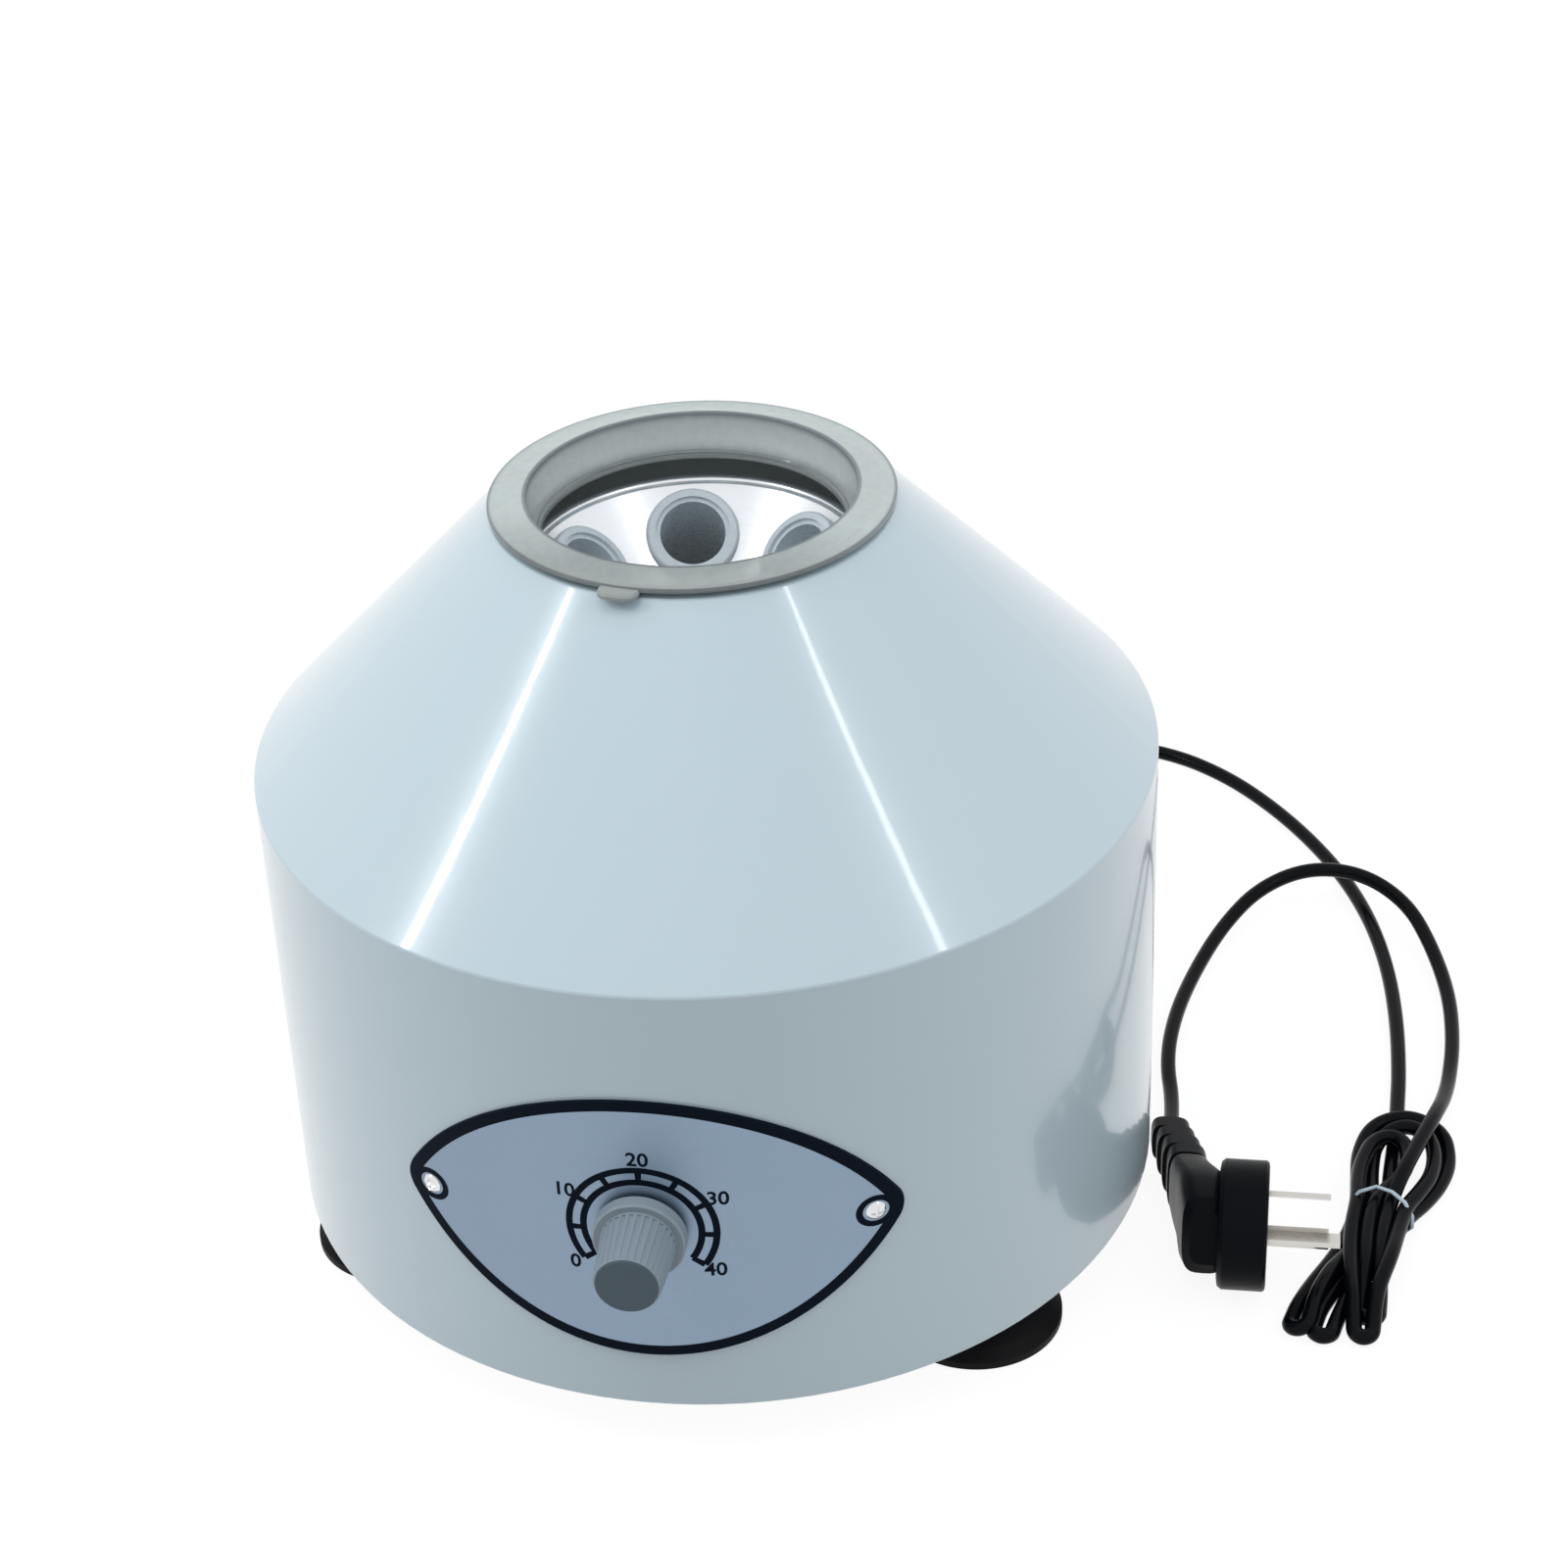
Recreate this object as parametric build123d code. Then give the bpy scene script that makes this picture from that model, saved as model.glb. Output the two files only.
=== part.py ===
from build123d import *
import os
from math import asin, atan, cos, degrees, hypot, pi, radians, sin, sqrt, tan

# Benchtop centrifuge for six tubes in a fixed-angle rotor. Millimetres, +Z up, front towards -Y.
# The origin is on the bench, under the rotor's axis.

# Housing: a drum with a cone above it and a collar round the mouth
housing_radius = 130.0
housing_wall = 3.0
bench_gap = 17.3
drum_height = 139.0
cone_height = 76.4
mouth_radius = 50.0
land_width = 6.73
collar_depth = 11.2
collar_wall = 3.0
land_thickness = 3.0
shoulder_round = 1.2
mouth_round = 1.0

# Lid: a clear dish whose rim lies on the housing's land
lid_overhang = 1.1
lid_seat_gap = 0.3
lid_rim_thickness = 3.0
lid_rim_edge = 1.3
lid_rim_drop = 0.6
lid_rim_rise = 0.15
lid_rim_offset = 0.2
lid_lip_width = 0.8
lid_lip_drop = 0.2
lid_lip_round = 0.7
lid_rim_width = 9.9
lid_side_gap = 0.4
lid_dish_depth = 9.7
lid_dish_taper = 2.9
lid_pane_thickness = 1.8
lid_skirt_depth = 1.5
lid_lug_width = 11.0
lid_lug_reach = 4.5
lid_lug_root = 2.0
lid_lug_corner = 3.6
lid_lug_thickness = 1.9
lid_lug_azimuth = -12.7

# Floor of the housing
base_recess = 0.7
base_thickness = 2.0
base_edge_gap = 0.3
base_slot_count = 8
base_slot_length = 14.0
base_slot_width = 4.0
base_slot_circle = 27.0
base_screw_azimuths = (-6.7, 113.3, -126.7)
base_screw_radius = 1.8
base_screw_length = 11.0
base_screw_head = 3.6
base_screw_head_height = 2.2
bolt_hole_gap = 0.2
bolt_end = 2.0
boss_radius = 5.0
boss_height = 15.0
boss_hold = 0.5
screw_end_gap = 1.0
screw_head_lap = 0.5

# Suction feet
foot_azimuths = {"foot_right": 52.7, "foot_left": -66.1, "foot_rear": 173.3}
foot_inset = 22.9
foot_radius = 25.4
foot_neck_radius = 11.0
foot_lip = 2.2
foot_neck_height = 11.5
foot_cup_depth = 4.2
foot_lip_rise = 2.8
foot_lip_inset = 3.5
foot_cup_edge = 2.5
foot_cup_crown = 0.6
foot_neck_root = 4.5
foot_neck_drop = 2.4
foot_bolt_radius = 3.0
foot_bolt_flange = 3.0
foot_bolt_pocket = 3.2
foot_head_inset = 1.0
foot_nut_size = 10.0
foot_nut_height = 5.0
bolt_head_height = 3.0

# Rotor: dish, skirt and floor of spun sheet round six tube sleeves
tube_count = 6
tube_slope = 45.0
tube_circle = 35.3
tube_first_angle = 101.7
rotor_seat_z = 190.2
rotor_sheet = 1.5
dish_flat_radius = 22.5
dish_rim_radius = 47.2
rim_bead_radius = 1.6
skirt_radius = 108.5
skirt_low_z = 150.0
skirt_bead_radius = 1.8
sheet_joint_gap = 0.15
cradle_depth = 66.0
rotor_floor_z = 135.0
sleeve_bore = 9.5
sleeve_wall = 1.4
sleeve_length = 85.0
sleeve_collar_radius = 13.3
sleeve_collar_height = 3.0
sleeve_lip_step = 1.3
sleeve_lip_depth = 1.2
sleeve_collar_round = 0.9
sleeve_collar_sink = 2.0
sleeve_hole_gap = 0.2
hub_neck_radius = 13.0
hub_foot_radius = 24.0
hub_head_radius = 19.0
hub_flange = 4.0
hub_bevel = 3.0
number_ring_radius = 21.4
number_ring_thickness = 0.9
washer_radius = 13.0
washer_thickness = 2.2
nut_across_flats = 13.0
nut_hex_height = 8.0
nut_dome_radius = 6.0
nut_dome_height = 8.0
nut_chamfer = (0.8, 0.7)
nut_shoulder = (1.4, 0.9)
nut_bore_rise = 1.2
fit_gap = 0.03
stud_gap = 0.1
stud_step_gap = 0.2
floor_edge_gap = 0.2

# Shaft and ball bearings
shaft_radius = 5.0
shaft_low_z = 34.8
shaft_collar_radius = 9.0
shaft_collar_height = 4.0
stud_radius = 4.0
bearing_radius = 13.0
bearing_height = 8.0
bearing_pitch = 9.0
ball_radius = 2.4
ball_count = 8
ring_land = 1.6
race_gap = 0.05

# Motor on its bracket and rubber bushes
bush_height = 10.0
bush_radius = 8.0
bush_room = 9.0
bush_lip = 2.5
bush_waist = 2.0
bush_bolt_radius = 2.0
bush_bolt_head = 3.8
bush_nut_size = 7.0
bush_nut_height = 3.2
bracket_edge = 10.0
bracket_thickness = 2.5
motor_radius = 38.0
can_wall = 1.5
can_height = 46.0
cap_wall = 3.0
cap_floor = 3.5
cap_shaft_gap = 1.5
cap_seat_wall = 1.0
cap_seat_rise = 0.5
top_seat_drop = 2.5
low_cap_height = 25.5
top_cap_height = 18.0
cap_boss_radius = 16.5
cap_window_count = 8
cap_window_width = 12.0
cap_window_height = 7.0
cap_window_gap = 0.1
tie_bolt_inset = 4.8
tie_bolt_radius = 2.0
tie_bolt_head = 3.7
tie_bolt_wall = 2.2
tie_nut_size = 7.0
tie_nut_height = 3.2
core_height = 36.0
core_ring_width = 6.4
core_gap = 0.05
coil_depth = 7.6
coil_pole_step = 1.2
pole_half_angle = 56.0
coil_half_angle = 76.0
coil_gap = 0.3
coil_overhang = 4.2
armature_gap = 0.8
armature_height = 32.0
armature_slot_count = 12
armature_slot_width = 2.4
armature_slot_depth = 7.0
winding_inset = 3.7
winding_height = 5.5
winding_bore_gap = 1.2
winding_round = 1.4
commutator_radius = 11.5
commutator_height = 11.0
commutator_bars = 24
bar_groove = 0.5
bar_groove_depth = 0.8
commutator_lift = 1.5
fan_room = 5.2
fan_height = 4.0
fan_disc = 1.0
fan_blade_width = 1.2
fan_blade_inset = 0.5
fan_hub_wall = 3.0
fan_lift = 1.2
fan_blades = 12
brush_width = 6.0
brush_height = 8.0
brush_length = 15.0
brush_air_gap = 0.3
brush_slide_gap = 0.1
holder_wall = 1.4
holder_start = 14.5
holder_proud = 3.0
holder_cap = 2.0
spring_radius = 2.2
spring_wire = 0.6
spring_turns = 6
spring_gap = 0.05

# Dial plate and speed control
dial_z = 80.3
plate_z = 79.7
plate_gap = 0.05
plate_thickness = 1.0
plate_half_height = 43.5
plate_arc_radius = 77.7
plate_tip_radius = 9.0
plate_screw_inset = 7.05
plate_screw_z = 79.3
plate_screw_radius = 1.4
plate_screw_length = 9.0
plate_screw_head = 2.9
plate_screw_dome = 1.5
plate_screw_lap = 0.5
plate_hole_gap = 0.1
cross_slot_length = 3.7
cross_slot_width = 0.8
cross_slot_depth = 0.9
pot_pad_radius = 15.0
pot_pad_depth = 2.5
pot_radius = 12.0
pot_depth = 11.0
switch_radius = 10.5
switch_depth = 9.0
pot_bush_radius = 3.5
pot_bush_reach = 3.5
pot_bush_gap = 0.25
pot_nut_size = 10.0
pot_nut_thickness = 2.2
pot_nut_gap = 0.1
pot_shaft_radius = 3.0
pot_shaft_gap = 0.05
pot_lug_width = 3.0
pot_lug_pitch = 5.0
pot_lug_length = 7.0
pot_lug_thickness = 1.0
pot_lug_inset = 6.0
pot_floor = 1.5
pot_shaft_end_gap = 0.5
knob_clearance = 1.0
knob_length = 22.0
knob_skirt_radius = 12.8
knob_skirt_height = 4.4
knob_base_radius = 10.5
knob_tip_radius = 9.2
knob_flutes = 30
knob_flute_radius = 0.8
knob_flute_outset = 0.25
knob_flute_start = 5.2
knob_skirt_edge = 0.6
knob_tip_edge = 0.5
knob_recess_radius = 8.0
knob_recess_depth = 6.0
knob_shaft_depth = 10.0
knob_cap_radius = 8.7
knob_cap_stem_radius = 6.5
knob_cap_inset = 1.2
knob_cap_proud = 0.6
knob_cap_edge = 0.4

# Speed controller on the housing's floor
board_width = 78.0
board_depth = 40.0
board_thickness = 1.6
board_post_height = 10.0
board_post_radius = 3.0
board_pin_radius = 1.5
board_pin_end = 1.5
board_pin_foot = 0.5
board_hole_gap = 0.1
board_hole_inset = 4.0
heatsink_x = 22.0
heatsink_width = 26.0
heatsink_height = 25.0
heatsink_depth = 16.0
heatsink_fins = 5
fin_thickness = 1.4
heatsink_wall = 3.0
triac_lift = 4.0
triac_width = 10.0
triac_height = 15.0
triac_thickness = 4.4
capacitor_x = -20.0
capacitor_width = 18.0
capacitor_depth = 9.0
capacitor_height = 16.0
capacitor_edge = 1.0
terminal_width = 15.0
terminal_depth = 8.0
terminal_height = 9.0
terminal_inset = 1.0
wire_radius = 0.9
wire_bend = 5.0
wire_pitch = 3.0
wire_start_x = -2.2
wire_lane = 78.0
wire_lane_pitch = 5.0
wire_swing = 14.0
wire_stagger = 4.0
wire_turn_y = -6.0
wire_cross_y = -52.0
wire_cross_lift = 20.0
wire_drop_lift = 26.0
wire_end_x = 4.0
wire_board_inset = 5.0
earth_wire_x = 3.5
earth_wire_corner = (20.0, 86.0)
earth_wire_swing = 14.0
brush_wire_reach = 9.0
brush_wire_end_x = 30.0
pot_wire_drop = 14.0

# Mains cord, its gland, hank and plug
cord_radius = 2.4
cord_rest_z = 2.5
gland_z = 38.0
gland_tip_y = 155.5
gland_tip_radius = 3.4
gland_root_radius = 6.0
gland_neck_radius = 5.0
gland_flange_radius = 8.0
gland_flange_thickness = 2.6
gland_grooves = 5
gland_groove_depth = 0.8
gland_groove_width = 1.2
gland_hole_gap = 0.2
gland_wall_gap = 0.6
gland_face_gap = 0.2
gland_end_step = 1.0
gland_root_step = 0.6
gland_groove_start = 3.0
gland_groove_end = 2.0
hank_height = 13.0
hank_edge_round = 3.0
hank_overlap = 5.0
hank_mouth_y = 34.5
hank_outline = [
    (191.1, 2.6),
    (190.8, -12),
    (189.8, -27),
    (186.8, -40),
    (180, -51),
    (173.8, -60),
    (173, -69.5),
    (179.8, -75),
    (186.3, -71),
    (189.5, -66.5),
    (193, -71),
    (198.5, -72),
    (201.5, -64),
    (202.2, -52),
    (203.6, -37.8),
    (206.4, -24),
    (212, -11.5),
    (218.1, -0.5),
    (221.8, 9.3),
    (222.6, 20),
    (218.5, 31),
    (208.2, hank_mouth_y),
    (199, 30.5),
    (194.1, 21.2),
]
tie_centre = (200.5, -12.0)
tie_turn = -12.0
tie_width = 3.2
tie_thickness = 1.4
tie_inner_width = 19.0
tie_inner_height = 10.0
tie_play = 0.1
tie_corner = 0.2
tie_rest_gap = 0.02
plug_disc_centre = (152.2, -39.3, 19.3)
plug_tilt = -12.5
plug_disc_radius = 19.2
plug_disc_thickness = 14.5
plug_edge = 1.2
plug_arm_length = 57.0
plug_arm_root_shift = 2.5
plug_arm_round = 0.6
plug_arm_lead_in = 21.0
plug_arm_end_x = -17.0
plug_arm_end_size = (14.0, 11.0)
plug_arm_root_y = -9.0
plug_arm_root_size = (18.0, 28.0)
plug_arm_middle = (18.0, -10.5, 18.0, 23.5)
pin_thickness = 1.6
pin_width = 6.3
pin_length = 18.0
pin_spread = 6.85
pin_centre_shift = 3.5
pin_rise = 3.96
pin_slant = 30.0
earth_pin_length = 21.0
earth_pin_drop = 10.31

# Hand-chosen points of the cord's two free stretches
tail_points = [
    (0, gland_tip_y, gland_z),
    (0, 173, gland_z),
    (1.5, 191, 31),
    (7, 209, 16),
    (19, 227, 5),
    (38, 243, cord_rest_z),
    (65, 253, cord_rest_z),
    (95, 256, cord_rest_z),
    (125, 249.5, cord_rest_z),
    (146, 235, cord_rest_z),
    (164, 215, cord_rest_z),
    (179, 193, cord_rest_z),
    (191, 170, cord_rest_z),
    (199.5, 145, cord_rest_z),
    (204.5, 117, cord_rest_z),
    (206.5, 88, cord_rest_z),
    (206, 59, cord_rest_z),
    (205, hank_mouth_y - hank_overlap, 3.2),
]
lead_points = [
    (216, hank_mouth_y - hank_overlap, 3.2),
    (220, 56, cord_rest_z),
    (223.5, 82, cord_rest_z),
    (223, 106, cord_rest_z),
    (217.5, 130, 5),
    (209.5, 148, 9.5),
    (194.5, 159.5, 13.2),
    (176, 161.5, 13.2),
    (159.5, 153, 9.5),
    (148, 136, 5),
    (139.5, 112, cord_rest_z),
    (134, 86, cord_rest_z),
    (132.5, 61, cord_rest_z),
]

# Heights and radii that follow from the sizes above
inner_radius = housing_radius - housing_wall
shoulder_z = bench_gap + drum_height
mouth_z = shoulder_z + cone_height
land_radius = mouth_radius + land_width
slope_tangent = cone_height / (housing_radius - land_radius)
cone_side_step = housing_wall / sin(atan(slope_tangent))
foot_circle = inner_radius - foot_inset
base_low_z = bench_gap + base_recess
base_top_z = base_low_z + base_thickness
bracket_z = base_top_z + bush_height
motor_low_z = bracket_z + bracket_thickness
can_low_z = motor_low_z + low_cap_height
can_top_z = can_low_z + can_height
motor_top_z = can_top_z + top_cap_height
core_low_z = can_low_z + (can_height - core_height) / 2
armature_low_z = core_low_z + (core_height - armature_height) / 2
low_bearing_z = motor_low_z + cap_floor + cap_seat_rise
top_bearing_z = motor_top_z - cap_floor - bearing_height - top_seat_drop
brush_z = low_bearing_z + bearing_height + commutator_lift + commutator_height / 2
tie_bolt_circle = motor_radius - tie_bolt_inset
bush_circle = motor_radius + bush_room
bracket_radius = bush_circle + bracket_edge
core_outer = motor_radius - can_wall - core_gap
coil_outer = motor_radius - can_wall - core_ring_width - coil_gap
core_bore = coil_outer - coil_depth - coil_pole_step
armature_radius = core_bore - armature_gap
winding_radius = armature_radius - winding_inset
fan_radius = tie_bolt_circle - fan_room
holder_end = motor_radius + holder_proud
plate_inner = housing_radius + plate_gap
plate_outer = plate_inner + plate_thickness
plate_arc_drop = plate_arc_radius - plate_half_height
plate_tip_x = sqrt((plate_arc_radius - plate_tip_radius) ** 2 - plate_arc_drop**2) + plate_tip_radius
plate_screw_azimuth = degrees(asin((plate_tip_x - plate_screw_inset) / plate_outer))
pot_face_y = -(inner_radius - pot_pad_depth)
knob_base_y = -(plate_outer + knob_clearance)
board_wall_y = sqrt(inner_radius**2 - (board_width / 2) ** 2)
board_centre_y = -(bracket_radius + board_wall_y) / 2
board_low_z = base_top_z + board_post_height
board_top_z = board_low_z + board_thickness
gland_end_y = inner_radius - gland_flange_thickness - gland_wall_gap - gland_end_step


def cylinder(radius, low, high):
    """Round bar about the vertical axis."""
    return Pos(0, 0, (low + high) / 2) * Cylinder(radius, high - low)


def ring(inner, outer, low, high):
    """Flat-ended ring about the vertical axis."""
    return cylinder(outer, low, high) - cylinder(inner, low - 1, high + 1)


def turned(*corners):
    """Solid of revolution about the vertical axis from (radius, height) corners."""
    outline = Wire.make_polygon([(radius, 0, height) for radius, height in corners], close=True)
    return revolve(Face(outline), Axis.Z)


def rod(radius, start, end):
    """Round bar from one point to another."""
    run = Vector(*end) - Vector(*start)
    bar = Cylinder(radius, run.length, align=(Align.CENTER, Align.CENTER, Align.MIN))
    return Plane(origin=start, z_dir=run) * bar


def block(low, high):
    """Box between two opposite corners."""
    size = [b - a for a, b in zip(low, high)]
    middle = [(a + b) / 2 for a, b in zip(low, high)]
    return Pos(*middle) * Box(*size)


def hexagon(across_flats, low, high, bore):
    """Hexagonal nut about the vertical axis."""
    outline = RegularPolygon(across_flats / sqrt(3), 6)
    nut = Pos(0, 0, low) * extrude(outline, high - low)
    if bore:
        nut -= cylinder(bore, low - 1, high + 1)
    return nut


def at_azimuth(azimuth, radius=0.0, height=0.0):
    """Place on a circle, azimuth counted from the front (-Y) towards +X."""
    return Rot(0, 0, azimuth) * Pos(0, -radius, height)


def facing_front(height):
    """Place whose +Z points out of the front of the machine."""
    return Pos(0, 0, height) * Rot(90, 0, 0)


def cone_radius(height):
    """Outer radius of the housing's cone at a height."""
    return land_radius + (mouth_z - height) / slope_tangent


def on_line(start, end, share):
    """Point a share of the way from start to end."""
    return tuple(a + (b - a) * share for a, b in zip(start, end))


def tube_place(number):
    """Frame of a tube socket: origin on the dish's face, +Z out of the mouth."""
    angle = tube_first_angle - 360.0 / tube_count * number
    return Rot(0, 0, angle) * Pos(tube_circle, 0, socket_z) * Rot(0, tube_slope - 90, 0)


def keep(name, *solids):
    """Write one node, from one solid or a group of separate solids."""
    shape = solids[0] if len(solids) == 1 else Compound(list(solids))
    export_step(shape, f"parts/{name}.step")


# Housing shell
def housing_shell():
    """Drum, cone, land and collar with the bosses and holes that other pieces use."""
    land_low_z = mouth_z - land_thickness
    inner_shoulder_z = shoulder_z + (housing_wall - cone_side_step) * slope_tangent
    collar_outer = mouth_radius + collar_wall
    shell = turned(
        (housing_radius, bench_gap),
        (housing_radius, shoulder_z),
        (land_radius, mouth_z),
        (mouth_radius, mouth_z),
        (mouth_radius, mouth_z - collar_depth),
        (collar_outer, mouth_z - collar_depth),
        (collar_outer, land_low_z),
        (cone_radius(land_low_z) - cone_side_step, land_low_z),
        (inner_radius, inner_shoulder_z),
        (inner_radius, bench_gap),
    )
    rims = shell.edges().filter_by(GeomType.CIRCLE)
    outer_rims = rims.filter_by(lambda e: abs(e.radius - housing_radius) < 0.01)
    shoulder = outer_rims.sort_by(Axis.Z)[-1]
    shell = fillet(shoulder, shoulder_round)
    rims = shell.edges().filter_by(GeomType.CIRCLE)
    mouth = rims.filter_by(lambda e: abs(e.center().Z - mouth_z) < 0.01)
    shell = fillet(mouth, mouth_round)
    for azimuth in base_screw_azimuths:
        post = cylinder(boss_radius, base_top_z, base_top_z + boss_height)
        reach = inner_radius - boss_radius + boss_hold
        shell += at_azimuth(azimuth, reach) * post & cylinder(inner_radius + 1, 0, shoulder_z)
        shell -= at_azimuth(azimuth, reach) * cylinder(base_screw_radius, 0, base_top_z + base_screw_length)
    front = facing_front(dial_z)
    pad = front * cylinder(pot_pad_radius, -pot_face_y, inner_radius + 1)
    shell += pad
    shell -= front * cylinder(pot_bush_radius + pot_bush_gap, -pot_face_y - 1, housing_radius + 1)
    screw_hole = cylinder(plate_screw_radius, inner_radius - 5, housing_radius + 1)
    screw_hole = facing_front(plate_screw_z) * screw_hole
    for azimuth in (-plate_screw_azimuth, plate_screw_azimuth):
        shell -= Rot(0, 0, azimuth) * screw_hole
    cord_hole_radius = gland_neck_radius + gland_hole_gap
    shell -= rod(cord_hole_radius, (0, inner_radius - 5, gland_z), (0, housing_radius + 2, gland_z))
    return shell


# Lid
def lid():
    """Clear dish with a domed rim and a small finger lug."""
    seat = mouth_z + lid_seat_gap
    top = seat + lid_rim_thickness
    outer = land_radius + lid_overhang
    well = mouth_radius - lid_side_gap
    inner = outer - lid_rim_width
    pane_top = top - lid_rim_drop - lid_dish_depth
    pane_low = pane_top - lid_pane_thickness
    pane_radius = inner - lid_dish_taper
    crest = (inner + outer) / 2
    shoulder = (outer + crest) / 2 + lid_rim_offset
    lip_z = top - lid_lip_drop
    corners = [
        (crest, top),
        (inner + lid_lip_width, lip_z),
        (inner, lip_z - lid_lip_round),
        (pane_radius, pane_top),
        (0, pane_top),
        (0, pane_low),
        (well - lid_dish_taper, pane_low),
        (well, seat - lid_skirt_depth),
        (well, seat),
        (outer, seat),
        (outer, seat + lid_rim_edge),
    ]
    places = [(radius, 0, height) for radius, height in corners]
    edges = [Line(first, second) for first, second in zip(places, places[1:])]
    edges.append(ThreePointArc(places[-1], (shoulder, 0, top - lid_rim_drop + lid_rim_rise), places[0]))
    body = revolve(Face(Wire(edges)), Axis.Z)
    lug_length = 2 * (lid_lug_reach + lid_lug_root)
    lug = extrude(RectangleRounded(lid_lug_width, lug_length, lid_lug_corner), lid_lug_thickness)
    return body + at_azimuth(lid_lug_azimuth, outer - lid_lug_root, seat) * lug


# Floor, feet and fasteners
def base_plate():
    """Round steel floor with holes for feet, motor bushes, board posts and air."""
    plate = cylinder(inner_radius - base_edge_gap, base_low_z, base_top_z)
    cut_low, cut_high = base_low_z - 1, base_top_z + 1
    for azimuth in base_screw_azimuths:
        reach = inner_radius - boss_radius + boss_hold
        plate -= at_azimuth(azimuth, reach) * cylinder(base_screw_radius + bolt_hole_gap, cut_low, cut_high)
    foot_hole = cylinder(foot_bolt_radius + bolt_hole_gap, cut_low, cut_high)
    for azimuth in foot_azimuths.values():
        plate -= at_azimuth(azimuth, foot_circle) * foot_hole
    bush_hole = cylinder(bush_bolt_radius + bolt_hole_gap, cut_low, cut_high)
    for azimuth in bush_azimuths():
        plate -= at_azimuth(azimuth, bush_circle) * bush_hole
    for place in board_places():
        plate -= place * cylinder(board_pin_radius + board_hole_gap, cut_low, cut_high)
    slot = Pos(0, 0, cut_low) * extrude(SlotOverall(base_slot_length, base_slot_width), cut_high - cut_low)
    for turn in range(base_slot_count):
        plate -= at_azimuth(360.0 / base_slot_count * turn, base_slot_circle) * Rot(0, 0, 90) * slot
    return plate


def bush_azimuths():
    """Where the motor's three rubber bushes stand."""
    return [30.0, 150.0, 270.0]


def board_places():
    """Four corners where the control board's posts stand."""
    across = board_width / 2 - board_hole_inset
    deep = board_depth / 2 - board_hole_inset
    corners = [(x, y) for x in (-across, across) for y in (-deep, deep)]
    return [Pos(x, board_centre_y + y, 0) for x, y in corners]


def base_screw():
    """Self-tapping screw that holds the floor to a boss."""
    end = base_top_z + base_screw_length - screw_end_gap
    shank = cylinder(base_screw_radius - fit_gap, base_low_z - screw_head_lap, end)
    return shank + cylinder(base_screw_head, base_low_z - base_screw_head_height, base_low_z)


def foot():
    """Rubber suction cup with a neck, hollow underneath."""
    head_z = foot_cup_depth + foot_head_inset
    outline = [
        (foot_radius, 0),
        (foot_radius, foot_lip),
        (foot_radius - foot_lip_inset, foot_lip + foot_lip_rise),
        (foot_neck_radius + foot_neck_root, foot_neck_height - foot_neck_drop),
        (foot_neck_radius, foot_neck_height),
        (foot_neck_radius, base_low_z),
        (foot_bolt_radius + fit_gap, base_low_z),
        (foot_bolt_radius + fit_gap, head_z + bolt_head_height),
        (foot_bolt_radius + foot_bolt_pocket, head_z + bolt_head_height),
        (foot_bolt_radius + foot_bolt_pocket, foot_cup_depth),
        (foot_neck_radius + foot_bolt_flange, foot_cup_depth - foot_cup_crown),
        (foot_radius - foot_cup_edge, 0),
    ]
    return turned(*outline)


def foot_bolt():
    """Bolt whose head lies in the foot's hollow."""
    head_z = foot_cup_depth + foot_head_inset
    top = base_top_z + foot_nut_height + bolt_end
    shank = cylinder(foot_bolt_radius, head_z, top)
    return shank + cylinder(foot_bolt_radius + foot_bolt_flange, head_z, head_z + bolt_head_height)


def foot_nut():
    """Nut of a foot bolt, on the floor plate."""
    return hexagon(foot_nut_size, base_top_z, base_top_z + foot_nut_height, foot_bolt_radius + fit_gap)


def plate_screw():
    """Cross-slot screw in the dial plate, along +Z from the drum's axis."""
    start = plate_outer - plate_screw_length
    shank = cylinder(plate_screw_radius - fit_gap, start, plate_outer + plate_screw_lap)
    dome_radius = (plate_screw_head**2 + plate_screw_dome**2) / (2 * plate_screw_dome)
    dome = Pos(0, 0, plate_outer + plate_screw_dome - dome_radius) * Sphere(dome_radius)
    head = dome & cylinder(plate_screw_head, plate_outer, plate_outer + plate_screw_dome + 1)
    cut_z = plate_outer + plate_screw_dome - cross_slot_depth / 2
    for turn in (0, 90):
        head -= Rot(0, 0, turn) * Pos(0, 0, cut_z + 0.5) * Box(
            cross_slot_length, cross_slot_width, cross_slot_depth + 1
        )
    return shank + head


# Dial plate, speed control and knob
def dial_plate():
    """Lens-shaped plate bent to the drum, with holes for the control and its two screws."""
    lower, upper = [Pos(0, side * plate_arc_drop) * Circle(plate_arc_radius) for side in (-1, 1)]
    lens = lower & upper
    lens = fillet(lens.vertices(), plate_tip_radius)
    slab = facing_front(plate_z) * extrude(lens, plate_outer + 5)
    plate = slab & ring(plate_inner, plate_outer, plate_z - plate_half_height, plate_z + plate_half_height)
    front = facing_front(dial_z)
    plate -= front * cylinder(pot_bush_radius + pot_bush_gap, housing_radius - 5, plate_outer + 5)
    hole = cylinder(plate_screw_radius + plate_hole_gap, plate_inner - 5, plate_outer + 5)
    for azimuth in (-plate_screw_azimuth, plate_screw_azimuth):
        plate -= Rot(0, 0, azimuth) * facing_front(plate_screw_z) * hole
    return plate


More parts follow.
